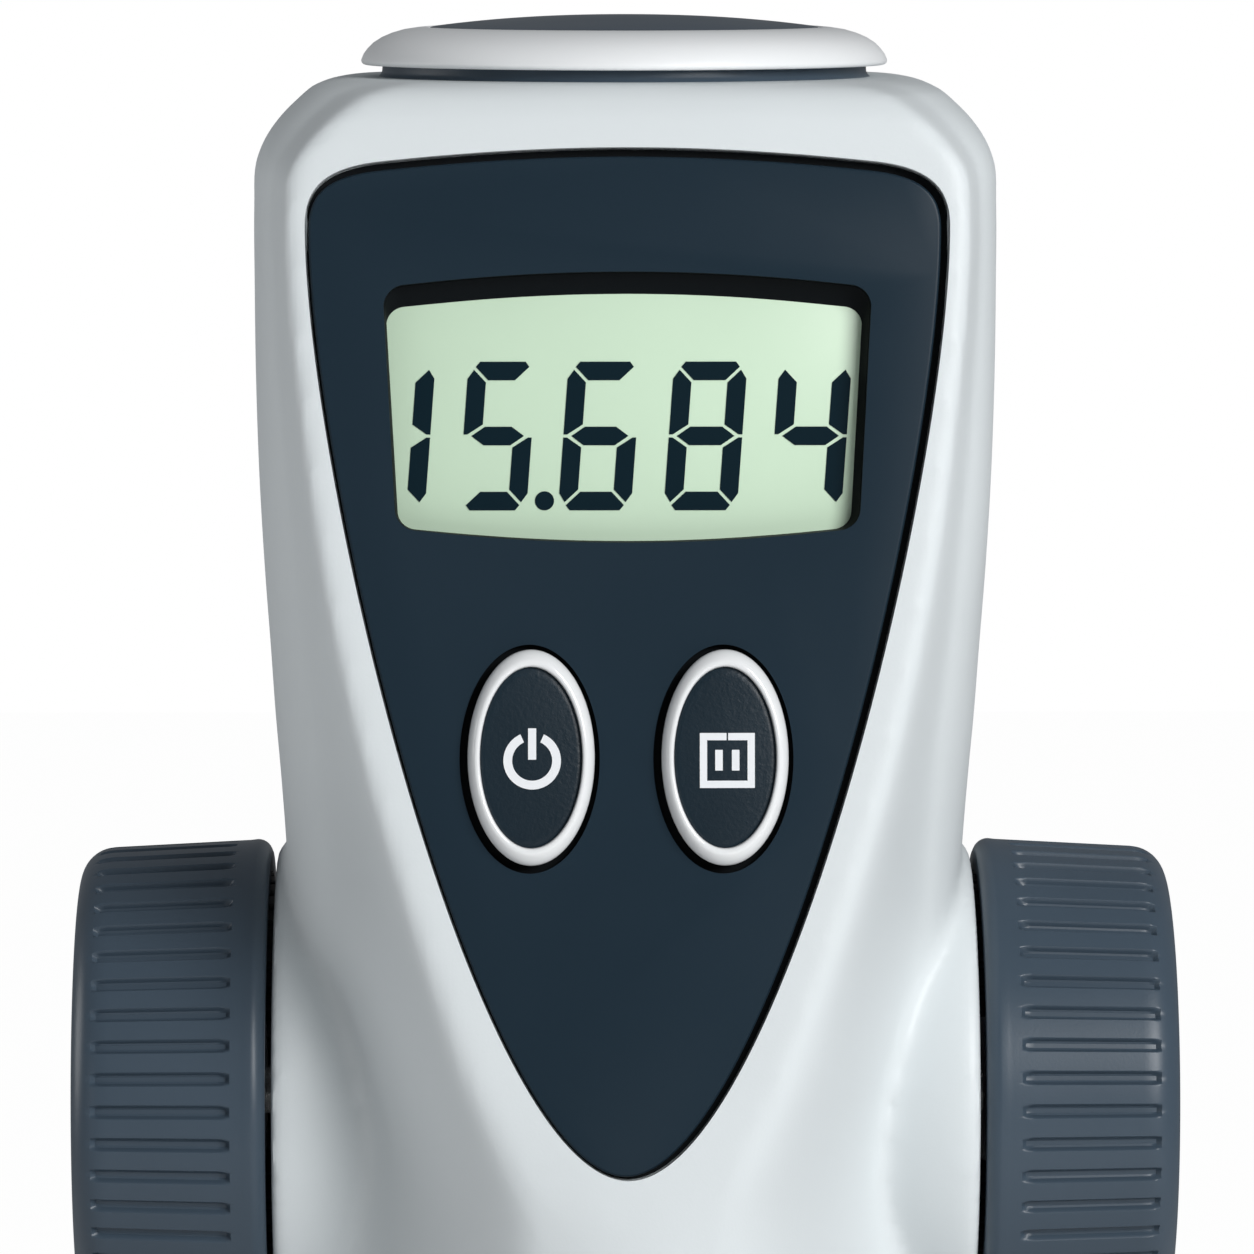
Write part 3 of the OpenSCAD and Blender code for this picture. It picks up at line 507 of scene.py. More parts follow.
# ---- head form
# height, half width, body front, back, exponent, middle, ridge front (None: the leaning panel plane), ridge foot,
# ridge flat, crown; all but the exponent in millimetres
SECTIONS = (
    (107, 27, -27, 27, 2, 0, -27, 14, 7.4, 0.6),
    (108, 27, -27, 27, 2, 0, -27, 14, 7.4, 0.6),
    (113, 27.7, -27, 27.9, 2.1, 3, -28.9, 18, 8, 1.4),
    (118, 28.8, -26, 29.4, 2.2, 4, -30.7, 22, 8, 1.8),
    (124, 30.6, -24, 31.4, 2.4, 7, -33.2, 26, 8, 2),
    (130, 32, -20.5, 32.8, 2.7, 9, -35.4, 28.5, 8, 1.8),
    (136, 32.9, -17.2, 33.8, 3, 10, -37, 29.8, 8, 1.4),
    (143, 33.5, -15.4, 34.6, 3.2, 10, -37.9, 31, 8, 0.8),
    (150, 33.9, -14.7, 35.2, 3.2, 10, None, 31, 10.8, 0.3),
    (157, 34.3, -16, 35.6, 3.2, 10, None, 31, 14.2, 0),
    (164, 34.6, -18, 35.8, 3.2, 10, None, 31, 17, 0),
    (171, 34.8, -20.5, 36, 3.3, 10, None, 31.2, 19.6, 0),
    (178, 35.15, -23.4, 36, 3.4, 10, None, 31.3, 22, 0),
    (185, 35.6, -26, 36, 3.6, 10, None, 31.6, 24.3, 0),
    (191, 36.05, -27.8, 36, 3.8, 10, None, 32, 26, 0),
    (198, 36.45, -29, 36, 4.1, 10, None, 32.8, 27.7, 0),
    (206, 36.95, -29.4, 36, 4.5, 10, None, 33.5, 29.4, 0),
    (215, 37.4, -29, 36, 4.9, 10, None, 34.3, 30.9, 0),
    (225, 37.7, -28.1, 36, 5.2, 10, None, 35, 32.2, 0),
    (236, 37.8, -27, 36, 5.5, 10, None, 35.6, 33.3, 0),
    (244, 37.8, -26.2, 36, 5.5, 10, None, 35.7, 33.5, 0),
    (248, 37.6, -25.8, 35.6, 5.5, 10, None, 35.2, 33, 0),
    (250.9, 36.3, -25.1, 34.6, 5.2, 9, -26.2, 33.5, 30.8, 0.1),
    (254, 33.55, -23.7, 33, 4.6, 7, -25.2, 30.6, 27.2, 0.3),
    (255.4, 31.7, -22.6, 32, 4.2, 6, -24.2, 28.6, 24.8, 0.5),
    (256, 29.9, -21.8, 31, 3.9, 5, -23.3, 26.4, 22.6, 0.7),
    (256.3, 28.3, -21, 30, 3.6, 4, -22.4, 24.4, 20.6, 0.9),
)


def half_section(row):
    """Points of one horizontal section from the front middle round the right side to the back middle."""
    z, a, yf, yb, n, y0, yr, foot, flat_w, crown = row
    bf, bb = y0 - yf, yb - y0
    if yr is None:
        yr = sizes().tip_y / MM + (z - sizes().tip_z / MM) * math.tan(sizes().tilt)
    yr = min(yr, y0 - bf * 0.9)
    yc = y0 - bf * (1 - (foot / a) ** n) ** (1 / n)
    run, drop = foot - flat_w, yr - yc
    flat = [(flat_w * i / 12, yr + crown * (i / 12) ** 2) for i in range(12)]
    # the flank rounds off the ridge, falls steeply and runs out to its foot
    flank = bez((flat_w, yr + crown), (flat_w + 0.36 * run, yr + crown * 1.7),
                (foot - 0.34 * run, yc + 0.17 * drop), (foot, yc), 22)

    def body(q, depth):
        return a * max(math.cos(q), 0) ** (2 / n), y0 + depth * max(math.sin(q), 0) ** (2 / n)

    start = math.acos((foot / a) ** (n / 2))
    side = [body(q, -bf) for q in start * (1 - np.arange(1, 31) / 30)]
    back = [body(q, bb) for q in np.pi / 2 * np.arange(1, 41) / 40]
    return np.vstack([flat, flank, side, back])


def head_core():
    """The head's closed outer form: the sections joined by smooth curves up the height."""
    zs = np.array([r[0] for r in SECTIONS], float)
    grid = np.array([half_section(r) for r in SECTIONS])
    deck = 250
    fine = np.unique(np.concatenate([np.arange(zs[0], deck, 1.0), np.linspace(deck, zs[-1], 18), zs]))
    # the slope up each column, for Hermite curves
    slope = np.zeros_like(grid)
    hz = np.diff(zs)[:, None, None]
    sl = np.diff(grid, axis=0) / hz
    slope[1:-1] = (sl[:-1] * hz[1:] + sl[1:] * hz[:-1]) / (hz[1:] + hz[:-1])
    slope[0], slope[-1] = sl[0], sl[-1]
    rows = []
    for z in fine:
        k = min(max(np.searchsorted(zs, z, side="right") - 1, 0), len(zs) - 2)
        h = zs[k + 1] - zs[k]
        t = (z - zs[k]) / h
        p = ((2 * t ** 3 - 3 * t ** 2 + 1) * grid[k] + (t ** 3 - 2 * t ** 2 + t) * h * slope[k]
             + (-2 * t ** 3 + 3 * t ** 2) * grid[k + 1] + (t ** 3 - t ** 2) * h * slope[k + 1])
        ring = np.vstack([p, p[1:-1][::-1] * (-1, 1)])
        rows.append(np.c_[ring, np.full(len(ring), z)])
    n = len(rows[0])
    verts = np.vstack(rows) * MM
    faces = []
    for r in range(len(rows) - 1):
        faces += quads(r * n, (r + 1) * n, n)
    faces += [tuple(range(n - 1, -1, -1)), tuple(range((len(rows) - 1) * n, len(rows) * n))]
    return verts, faces


def boss_profile():
    """Flared boss round the handwheel shaft: radius against distance from the middle."""
    root, flare, lip = 21, 4.6, 0.8
    start, end = 24, 35.4
    swell = [(root + flare * math.sin((x - start) / 12.2 * math.pi / 2), x) for x in np.linspace(start, end, 18)]
    turn = [(root + flare - lip * (1 - math.cos(q)), end + lip * math.sin(q)) for q in np.radians((30, 60, 90))]
    return [(0, 20), (root, 20), *swell, *turn, (0, end + lip)]


# ---- materials
FINISH = {}


def make_finishes():
    """Makes every material once, under its slot in the record or a name of its own."""
    c = bpy.context.scene.burette_colours
    FINISH.update({
        # satin ABS from a spark-eroded mould: bright broad sheen with a very fine grain
        "shell_white": moulded("satin_abs_shell", c.shell, 0.46, 0.03, 0.3, 0.25, spec=0.45, shade=0.015),
        # a lighter copy of the shell's satin ABS for the cap's rim: painted light where the rim catches the lamps
        "cap": moulded("satin_abs_cap_painted_light", "#F1F3F4", 0.4, 0.03, 0.3, 0.2, spec=0.45, shade=0.01),
        # glass-filled polypropylene, slate: dull with a soft highlight
        "slate_plastic": moulded("slate_polypropylene", c.slate, 0.36, 0.05, 0.3, 0.25, spec=0.45, shade=0.08),
        # hard-coated polycarbonate front plate: smooth, faint orange peel
        "panel_slate": moulded("coated_polycarbonate_panel", c.panel, 0.3, 0.03, 0.5, 0.06, spec=0.14, shade=0.03),
        # polished ABS ring under a clear coat
        "button_white": moulded("polished_abs_ring", c.ring, 0.12, 0.02, 1.2, 0.02,
                        spec=0.55, coat=0.5, coat_rough=0.05, shade=0.01),
        # textured elastomer button insert, grain coarse enough to see
        "insert": moulded("grained_elastomer_insert", c.insert, 0.38, 0.05, 0.45, 1.1, spec=0.35, shade=0.15),
        "icon": moulded("screen_printed_ink", c.icon, 0.45, 0.02, 0.4, 0.05, spec=0.35, shade=0.02),
        # reflective liquid crystal glass and its dark segments
        "lcd_green": moulded("liquid_crystal_glass", c.lcd, 0.3, 0.02, 3.0, 0.01, spec=0.3, shade=0.03),
        "segment": moulded("liquid_crystal_segment", c.segment, 0.4, 0.02, 2.0, 0.01, spec=0.12, shade=0.02),
        # black ABS for the black parts; also the colour of painted shadow on the panel's rebate, deep in the key wells
        # and on the display collar's wider top and right
        "black_plastic": moulded("black_abs_and_painted_shadow", "#080D11", 0.55, 0.05, 0.3, 0.2, spec=0.12, shade=0.1),
        # acetal, machined: milky and slightly glossy
        "acetal_white": moulded("milky_acetal", "#E9E9E4", 0.3, 0.04, 0.6, 0.08, shade=0.02),
        "rubber_black": moulded("matt_rubber", "#16181A", 0.7, 0.06, 0.25, 0.4, spec=0.3, shade=0.1),
        "board_green": moulded("green_solder_mask", "#0F5A34", 0.3, 0.05, 2.0, 0.05, shade=0.15),
        "battery_wrap": moulded("printed_battery_wrap", "#2F4A63", 0.25, 0.03, 4.0, 0.02, shade=0.05),
        # brushed stainless steel, and brass as it leaves the lathe
        "steel": metal("brushed_stainless_steel", "#C9CBCD", 0.28, 2),
        "brass": metal("turned_brass", "#D9BC7C", 0.25, 0),
        # borosilicate glass, fluoropolymer tube and amber polycarbonate windows
        "glass": see_through("borosilicate_glass", "#F6FBFA", 0.02, 1.47, 0.95),
        "clear_tube": see_through("fluoropolymer_tube", "#EDF0EE", 0.25, 1.35, 0.6),
        "amber_window": see_through("amber_polycarbonate", "#A9611F", 0.08, 1.58, 0.75),
    })


def slot_of(node):
    """A node's material slot in the record."""
    return next(s["material_slot"] for s in frame["record"]["subparts"] if s["node"] == node)


def body_with(node):
    """The rigid body that holds a node."""
    return next(b for b, nodes in frame["record"]["behaviour"]["bodies"].items() if node in nodes)


def rides_with(o, node):
    """Rides on the node's body."""
    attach(o, body_with(node))


def stands_for(o, node, crease):
    """Smooths the object up to a crease angle, rides on the node's body, and hides the CAD node."""
    smooth(o, crease)
    rides_with(o, node)
    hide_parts(node)


def on_shaft(name, profile, material, steps, shift=0, flip=False):
    """Turns a profile round the handwheel shaft, shifted along it in millimetres."""
    s = sizes()
    return lathe(name, profile, material, steps, (shift, s.axis_y / MM, s.axis_z / MM), "X", flip)


# ---- operators
class BURETTE_OT_finishes(bpy.types.Operator):
    """Make the materials and give every CAD node its own"""
    bl_idname = "burette.finishes"
    bl_label = "Materials"

    def execute(self, context):
        make_finishes()
        for name, o in frame["nodes"].items():
            o.data.materials.clear()
            o.data.materials.append(FINISH[slot_of(name)])
        return {"FINISHED"}


def shell_blank(name, low_y, high_y, form):
    """One half of the head's skin between two depths, given its wall."""
    foot = 0.1081
    o = linked(name, form.data.copy())
    with edited(o.data) as bm:
        for place, normal in (((0, low_y, 0), (0, -1, 0)), ((0, high_y, 0), (0, 1, 0)), ((0, 0, foot), (0, 0, -1))):
            bmesh.ops.bisect_plane(
                bm, geom=bm.verts[:] + bm.edges[:] + bm.faces[:], plane_co=place, plane_no=normal, clear_outer=True)
    o.data.materials.clear()
    o.data.materials.append(FINISH["shell_white"])
    return modify(o, "SOLIDIFY", thickness=sizes().wall, offset=-1, use_rim=True, use_even_offset=False)


def relax(form):
    """Evens the skin, most in the hollow where the bosses flare out."""
    s = sizes()
    me = form.data
    co = np.empty(len(me.vertices) * 3)
    me.vertices.foreach_get("co", co)
    co = co.reshape(-1, 3) / MM
    out = np.abs(co[:, 0])
    near = np.abs(np.hypot(co[:, 1] - s.axis_y / MM, co[:, 2] - s.axis_z / MM) - 23.5)
    weight = np.clip(1 - near / 6, 0, 1) * np.clip((out - 22) / 5, 0, 1) * np.clip((34.2 - out) / 3, 0, 1)
    group = form.vertex_groups.new(name="flare")
    for i in np.nonzero(weight > 0.01)[0]:
        group.add([int(i)], float(weight[i]), "REPLACE")
    for name, rounds, where in (("even", 5, ""), ("flare", 24, "flare")):
        md = form.modifiers.new(name, "SMOOTH")
        md.factor, md.iterations, md.vertex_group = 0.5, rounds, where
    bake(form)


class BURETTE_OT_housing(bpy.types.Operator):
    """Mould the front and rear shells of the head with their bosses, pocket and openings"""
    bl_idname = "burette.housing"
    bl_label = "Head shells"

    def execute(self, context):
        s = sizes()
        shell = FINISH["shell_white"]
        core = piece("head_form", *head_core(), shell, 1e-7)
        bosses = [on_shaft("boss", boss_profile(), shell, 200, 0, flip) for flip in (False, True)]
        form = merged("head_form", [core, *bosses])
        modify(form, "REMESH", mode="VOXEL", voxel_size=s.voxel, use_smooth_shade=True)
        relax(form)
        # keep to the CAD box
        low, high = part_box("front_housing")
        _, rear_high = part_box("rear_housing")
        for v in form.data.vertices:
            v.co.x = min(max(v.co.x, low[0]), high[0])
            v.co.y = min(max(v.co.y, low[1]), rear_high[1])
        cut(form, prism("pocket", shield_outline(), POCKET_FRONT, POCKET_BACK, shell))
        # the shells part at the shaft's depth
        half_gap, beyond = 0.06 * MM, 1
        front = shell_blank("front_housing_shell", -beyond, s.axis_y - half_gap, form)
        rear = shell_blank("rear_housing_shell", s.axis_y + half_gap, beyond, form)
        bpy.data.objects.remove(form)
        # openings: display, keys, shaft, battery door and the two screws
        window = np.array([(-25.6, 61.3), (25.6, 61.3), (25.6, 92.2), (-25.6, 92.2)])
        ways = [prism("window", window, 1, 12, shell)]
        ways += [prism("well", oval(x, KEY_H, 7.9, 12.3), 1, 12, shell) for x in (-KEY_U, KEY_U)]
        bore = [(0, -60), (SHAFT_BORE, -60), (SHAFT_BORE, 60), (0, 60)]
        cut(front, *ways, on_shaft("bore", bore, shell, 48))
        ways = [box_mesh("door_way", (-15, 30, 191), (15, 45, 244), shell), on_shaft("bore", bore, shell, 48)]
        screw = [(0, -50), (3, -50), (3, -29), (0, -29)]
        ways += [lathe("screw_way", screw, shell, 40, (x, 0, 228), "-Y") for x in (-31, 31)]
        cut(rear, *ways)
        for o, node in ((front, "front_housing"), (rear, "rear_housing")):
            stands_for(o, node, 38)
        return {"FINISHED"}


class BURETTE_OT_panel(bpy.types.Operator):
    """Cut and bevel the shield panel with its display window and button wells"""
    bl_idname = "burette.panel"
    bl_label = "Shield panel"

    def execute(self, context):
        front, back, ledge, gap, edge = 0.78, 2.3, 1.9, 0.12, 0.4

        def raised(inwards):
            """The plate's outline, drawn in and moved down and to the left, so that a black ledge runs round it, wider
            at the top and on the right: a painted shadow of the pocket wall.
            """
            return shield_outline(-0.6 - inwards) + (-0.24, -0.24)

        foot = shield_outline(-gap)
        rings = [(foot, back), (foot, ledge), (raised(0), ledge), (raised(0), front + edge)]
        for q in np.radians((30, 60, 90)):
            rings.append((raised(edge * (1 - math.cos(q))), front + edge * (1 - math.sin(q))))
        panel = skinned("front_panel_plate", rings, FINISH["panel_slate"])
        wells = [oval(x + WELL_SHIFT[0], KEY_H + WELL_SHIFT[1], WELL_A, WELL_B) for x in (-KEY_U, KEY_U)]
        cut(panel, *[prism("way", ring, -2, 6, FINISH["panel_slate"]) for ring in (display_outline(), *wells)])
        # the rebate's floor and walls are painted black as the pocket wall's shadow
        paint_shadow_black(panel, lambda f: depth_of(f.center) > (1.1 if f.normal.y > -0.5 else 1.85))
        stands_for(panel, "front_panel", 25)
        # bezel: a black collar from the window's edge down to the display, sloping in further at the top and on the
        # right; the collar is the frame's own black, and its extra width at the top and on the right is painted shadow
        # of the window's edge
        outer, seat = display_outline(0.5), display_outline(-0.25)
        seat[:, 0] -= 0.6 * np.clip(seat[:, 0] / 24, 0, 1)
        seat[:, 1] -= 1.8 * np.clip((seat[:, 1] - 64) / 25, 0, 1)
        rings = [(outer, BEZEL_BACK), (outer, BEZEL_FRONT), (display_outline(-0.05), BEZEL_FRONT), (seat, BEZEL_BACK)]
        bezel = skinned("display_bezel", rings, FINISH["black_plastic"], capped=False)
        stands_for(bezel, "display_frame", 25)
        return {"FINISHED"}


SEGMENTS = {
    "0": "abcdef", "1": "bc", "2": "abged", "3": "abgcd", "4": "fgbc",
    "5": "afgcd", "6": "afgedc", "7": "abc", "8": "abcdefg", "9": "abcdfg",
}
# left edge and width of each place in the reading, and the middle of the point, in panel millimetres
PLACES = {0: (-27.35, 7.2), 1: (-16.85, 6.8), 3: (-6.9, 7.25), 4: (3.6, 7.3), 5: (14.1, 7.2)}
POINT_U, POINT_R = -8.25, 0.95
DIGIT_FOOT, DIGIT_HEIGHT, STROKE, STROKE_GAP = 66.5, 14.8, 1.85, 0.22
DIGIT_LEAN = math.tan(math.radians(4.2))


def segment_ring(which, w, h, t, g):
    """One display segment in a digit's box of width w and height h, with stroke t and gap g."""
    m, k, mid = h / 2, t / 2, g * 0.7
    # the top stroke and the upper left stroke, each with its outer corner cut off; the others mirror them
    top = [(g + 0.5 * t, h), (w - g - 0.5 * t, h), (w - g - 0.28 * t, h - 0.28 * t), (w - g - t, h - t),
           (g + t, h - t), (g + 0.28 * t, h - 0.28 * t)]
    left = [(0, h - g - 0.8 * t), (0.32 * t, h - g - 0.32 * t), (t, h - t - g),
            (t, m + k + g), (k * 0.4, m + mid), (0, m + mid)]
    shapes = {
        "a": top,
        "b": [(w - x, y) for x, y in left[::-1]],
        "c": [(w - x, h - y) for x, y in left],
        "d": [(x, h - y) for x, y in top[::-1]],
        "e": [(x, h - y) for x, y in left[::-1]],
        "f": left,
        "g": [(g + k * 0.6, m), (g + t, m + k), (w - g - t, m + k),
              (w - g - k * 0.6, m), (w - g - t, m - k), (g + t, m - k)],
    }
    return shapes[which]


class BURETTE_OT_display(bpy.types.Operator):
    """Make the display glass and its leaning digits"""
    bl_idname = "burette.display"
    bl_label = "Display"

    def execute(self, context):
        pane = np.array([(-25.4, 61.5), (25.4, 61.5), (25.4, 92), (-25.4, 92)])
        glass = prism("display_glass", pane, GLASS_FRONT, GLASS_BACK, FINISH["lcd_green"])
        rounded(glass, 0.15 * MM, 2, 30)
        stands_for(glass, "display_module", 40)
        rings = []
        for i, ch in enumerate(sizes().reading):
            if ch == ".":
                t = np.linspace(0, 2 * np.pi, 32, endpoint=False)
                rings.append(np.c_[POINT_U + POINT_R * np.cos(t), DIGIT_FOOT + POINT_R + POINT_R * np.sin(t)])
                continue
            left, width = PLACES[i]
            for name in SEGMENTS[ch]:
                outline = segment_ring(name, width, DIGIT_HEIGHT, STROKE, STROKE_GAP)
                rings.append(np.array([(left + x + y * DIGIT_LEAN, DIGIT_FOOT + y) for x, y in outline]))
        strokes = [prism("stroke", ring, DIGIT_FRONT, DIGIT_BACK, FINISH["segment"]) for ring in rings]
        rides_with(merged("display_digits", strokes), "display_module")
        return {"FINISHED"}


# button ring, first its black flange deep in the well, painted black as the shade in the gap round the key: how far
# outside the key's oval, and the depth
FLANGE = ((1.3, 3.3), (1.3, 2.55), (0, 2.5))
# then how far inside it, and the depth: a sloping flank, a narrow flat top and a sharp fall to the insert
BEAD = ((0, 0.3), (0, -0.05), (0.12, -0.42), (0.32, -0.76), (0.52, -1.02), (0.68, -1.18), (0.8, -1.26),
        (0.92, -1.28), (1.06, -1.26), (1.16, -1.17), (1.22, -1.0), (1.24, -0.6), (1.24, -0.25))


def icon_prism(points):
    """A printed mark, standing just proud of the insert."""
    return prism("mark", np.array(points), ICON_FRONT, ICON_BACK, FINISH["icon"])


class BURETTE_OT_buttons(bpy.types.Operator):
    """Make the two oval buttons, their grained inserts and the printed icons"""
    bl_idname = "burette.buttons"
    bl_label = "Buttons"

    def execute(self, context):
        for node, cu in (("power_button", -KEY_U), ("pause_button", KEY_U)):
            rings = [(oval(cu, KEY_H, KEY_A + off, KEY_B + off), depth) for off, depth in FLANGE]
            rings += [(oval(cu, KEY_H, KEY_A - off, KEY_B - RING_STRETCH * off), depth) for off, depth in BEAD]
            ring = skinned(node + "_ring", rings, FINISH["button_white"])
            # the flange and the ring's deep side are painted black as the shade in the well
            paint_shadow_black(ring, lambda f: depth_of(f.center) > 2)
            stands_for(ring, node, 50)
            # the insert is a dished pad inside the ring
            a, b = KEY_A - RING_WIDTH, KEY_B - RING_STRETCH * RING_WIDTH
            rings = [(oval(cu, KEY_H, a, b), -0.24), (oval(cu, KEY_H, a, b), -0.5)]
            for k in (0.96, 0.9, 0.75, 0.5, 0.25, 0.05):
                rings.append((oval(cu, KEY_H, a * k, b * k), -0.62 - 0.22 * (1 - k * k)))
            pad = skinned(node + "_insert_pad", rings, FINISH["insert"])
            stands_for(pad, node + "_insert", 50)
        self.power_icon()
        self.pause_icon()
        return {"FINISHED"}

    def power_icon(self):
        """An open ring with a bar in its gap."""
        u, h, outer_r, inner_r = -9.5, 41.6, 2.85, 1.98
        left, right, foot, top = -9.9, -9.1, 41.7, 44.8
        t = np.radians(np.linspace(90 + 24, 450 - 24, 60))
        outer = [(u + outer_r * math.cos(q), h + outer_r * math.sin(q)) for q in t]
        inner = [(u + inner_r * math.cos(q), h + inner_r * math.sin(q)) for q in t[::-1]]
        bar = [(left, foot), (right, foot), (right, top), (left, top)]
        rides_with(merged("power_icon", [icon_prism(outer + inner), icon_prism(bar)]), "power_button")

    def pause_icon(self):
        """A square frame, slit at the top, round two short bars."""
        u, h, slit = 9.8, 41.6, 0.08
        outer, stroke = 2.72, 0.72
        inner = outer - stroke
        frame_ring = [(u + x, h + y) for x, y in (
            (-slit, outer), (-outer, outer), (-outer, -outer), (outer, -outer), (outer, outer), (slit, outer),
            (slit, inner), (inner, inner), (inner, -inner), (-inner, -inner), (-inner, inner), (-slit, inner))]
        marks = [icon_prism(frame_ring)]
        width, foot, top = 0.75, -1.0, 1.05
        for x in (u - 1.2, u + 0.45):
            marks.append(icon_prism([(x, h + foot), (x + width, h + foot), (x + width, h + top), (x, h + top)]))
        rides_with(merged("pause_icon", marks), "pause_button")


def ring_of_copies(o, count, material, merge):
    """Geometry Nodes: copies the object's mesh count times round local Z and joins the copies."""
    t = bpy.data.node_groups.new("ring_of_copies", "GeometryNodeTree")

    def socket(name, kind, way="INPUT"):
        return t.interface.new_socket(name, in_out=way, socket_type="NodeSocket" + kind)

    def node(kind, **links):
        return add(t, "GeometryNode" + kind, None, None, links).outputs[0]

    socket("Geometry", "Geometry")
    number = socket("Count", "Int")
    close = socket("Merge distance", "Float")
    finish = socket("Material", "Material")
    socket("Geometry", "Geometry", "OUTPUT")
    given = add(t, "NodeGroupInput").outputs
    turn = maths(t, "DIVIDE", {0: 2 * math.pi}, {1: given["Count"]})
    angle = maths(t, "MULTIPLY", None, {0: node("InputIndex"), 1: turn})
    spin = add(t, "ShaderNodeCombineXYZ", None, None, {"Z": angle}).outputs[0]
    points = node("Points", Count=given["Count"])
    copies = node("InstanceOnPoints", Points=points, Instance=given["Geometry"], Rotation=spin)
    weld = node("MergeByDistance", Geometry=node("RealizeInstances", Geometry=copies), Distance=given["Merge distance"])
    paint = node("SetMaterial", Geometry=weld, Material=given["Material"])
    add(t, "NodeGroupOutput", None, None, {"Geometry": paint})
    md = o.modifiers.new("ring", "NODES")
    md.node_group = t
    md[number.identifier] = count
    md[close.identifier] = merge
    md[finish.identifier] = material
    return bake(o)


def wheel_profile():
    """Handwheel profile (radius, distance outwards), from the hub round the rim to its outer face."""
    r0, w, bore, inner_round, outer_round = WHEEL_RADIUS, WHEEL_WIDTH, 2.52, 1.5, 3.5
    hollow = [(bore, 0.8), (7.5, 0.8), (8.5, 12), (20.5, 12.5), (22.6, 10), (23, 0)]
    rim = [(r0 - 1.2, 0.0)] + arc(r0 - inner_round, inner_round, inner_round, -78, 0, 7)
    rim += [(r0 - WHEEL_TAPER * (z - 0.6), z) for z in np.linspace(2.2, w - outer_round, 33)]
    top = r0 - WHEEL_TAPER * (w - outer_round)
    rim += arc(top - outer_round, w - outer_round, outer_round, 6, 90, 14)
    # the dished outer face, as radius and drop below the rim's width
    face = [(20.9, 0), (20.2, 0.25), (19.4, 1.2), (18.6, 1.7), (17.5, 1.95), (12, 2.2), (9.6, 2.3), (9.25, 2.5)]
    return np.array(hollow + rim + [(r, w - drop) for r, drop in face] + [(9.25, 15.6), (bore, 15.5)])


def grooved_wedge():
    """The profile turned through one pitch, with a groove pressed in."""
    s = sizes()
    profile = wheel_profile()
    half, depth = s.groove_width / MM / 2, s.groove_depth / MM
    across_r = 25.9
    shares = np.array([0.14, 0.26, 0.33, 0.385, 0.44, 0.52, 0.72, 1])
    angles = np.array([*-shares[::-1], 0, *shares]) * (2 * math.pi / s.groove_count) / 2
    tangent = np.gradient(profile, axis=0)
    tangent /= np.linalg.norm(tangent, axis=1)[:, None] + 1e-12
    normal = np.c_[tangent[:, 1], -tangent[:, 0]]
    z0, z1 = GROOVE_START + half, GROOVE_END - half
    verts, faces = [], []
    for (r, z), (nr, nz) in zip(profile, normal):
        for a in angles:
            along = max(z0 - z, 0, z - z1)
            inside = half - math.hypot(a * across_r, along) if r > 21 and z > 1 else -1
            f = min(max(inside / GROOVE_EDGE, 0), 1)
            f = f * f * (3 - 2 * f) * depth
            x, y = turned(a, r - nr * f)
            verts.append((x * MM, y * MM, (z - nz * f) * MM))
    m = len(angles)
    for k in range(len(profile)):
        k2 = (k + 1) % len(profile)
        faces += [(k * m + i, k * m + i + 1, k2 * m + i + 1, k2 * m + i) for i in range(m - 1)]
    return verts, faces


HUB_CAP = [(0, 17.45), (9.2, 17.45), (9.2, 17.6), (9.45, 17.7), (9.3, 18.1), (8.9, 18.35), (8, 18.7),
           (6, 19.0), (3, 19.22), (0, 19.3)]


class BURETTE_OT_handwheels(bpy.types.Operator):
    """Turn the two ribbed handwheels and their hub caps"""
    bl_idname = "burette.handwheels"
    bl_label = "Handwheels"

    def execute(self, context):
        s = sizes()
        verts, faces = grooved_wedge()
        c, n = math.cos(FIRST_GROOVE), math.sin(FIRST_GROOVE)
        for side, node in ((1, "right"), (-1, "left")):
            wedge = piece(node + "_handwheel_grip", verts, faces, FINISH["slate_plastic"])
            wheel = ring_of_copies(wedge, s.groove_count, FINISH["slate_plastic"], 4e-6)
            for v in wheel.data.vertices:
                x, y, z = v.co
                v.co = (side * (WHEEL_INNER * MM + z), s.axis_y + x * n + y * c, s.axis_z + x * c - y * n)
            fix_normals(wheel, 2e-6)
            stands_for(wheel, node + "_handwheel", 30)
            cap = on_shaft(node + "_hub_cap", HUB_CAP, FINISH["shell_white"], 96, side * WHEEL_INNER, side < 0)
            stands_for(cap, node + "_wheel_cap", 40)
        return {"FINISHED"}


# the cap's rim, as (radius, height) in millimetres: underside, rounded lip, shoulder, inner lip
CAP_RIM = [
    (16, 259.6), (19, 258.1), (25.0, 258.1), (26.6, 258.15), *arc(26.62, 258.55, 0.42, -80, 20, 6),
    (26.8, 259.2), (26.4, 259.75), (25.8, 260.35), (24.95, 260.9), (23.9, 261.35), (22.7, 261.7), (21.4, 261.9),
    *arc(20.5, 261.7, 0.28, 90, 180, 4), (20.2, 261), (16, 261),
]
DOME_R, DOME_EDGE, DOME_RISE = 20, 261.98, 1.25
CAP_DOME = [
    (0, 261), (20.05, 261), (20.05, 261.75), (19.9, 261.95),
    *[(DOME_R * (1 - q), DOME_EDGE + DOME_RISE * (1 - (1 - q) ** 2.2)) for q in np.linspace(0.03, 0.97, 20)],
    (0, DOME_EDGE + DOME_RISE),
]
CAP_NECK = [
    (21, 254.5), (22.85, 254.5), (22.85, 256.25), (25.3, 256.28), (25.05, 256.5), (24.9, 256.8), (24.85, 257.48),
    (21, 257.48),
]


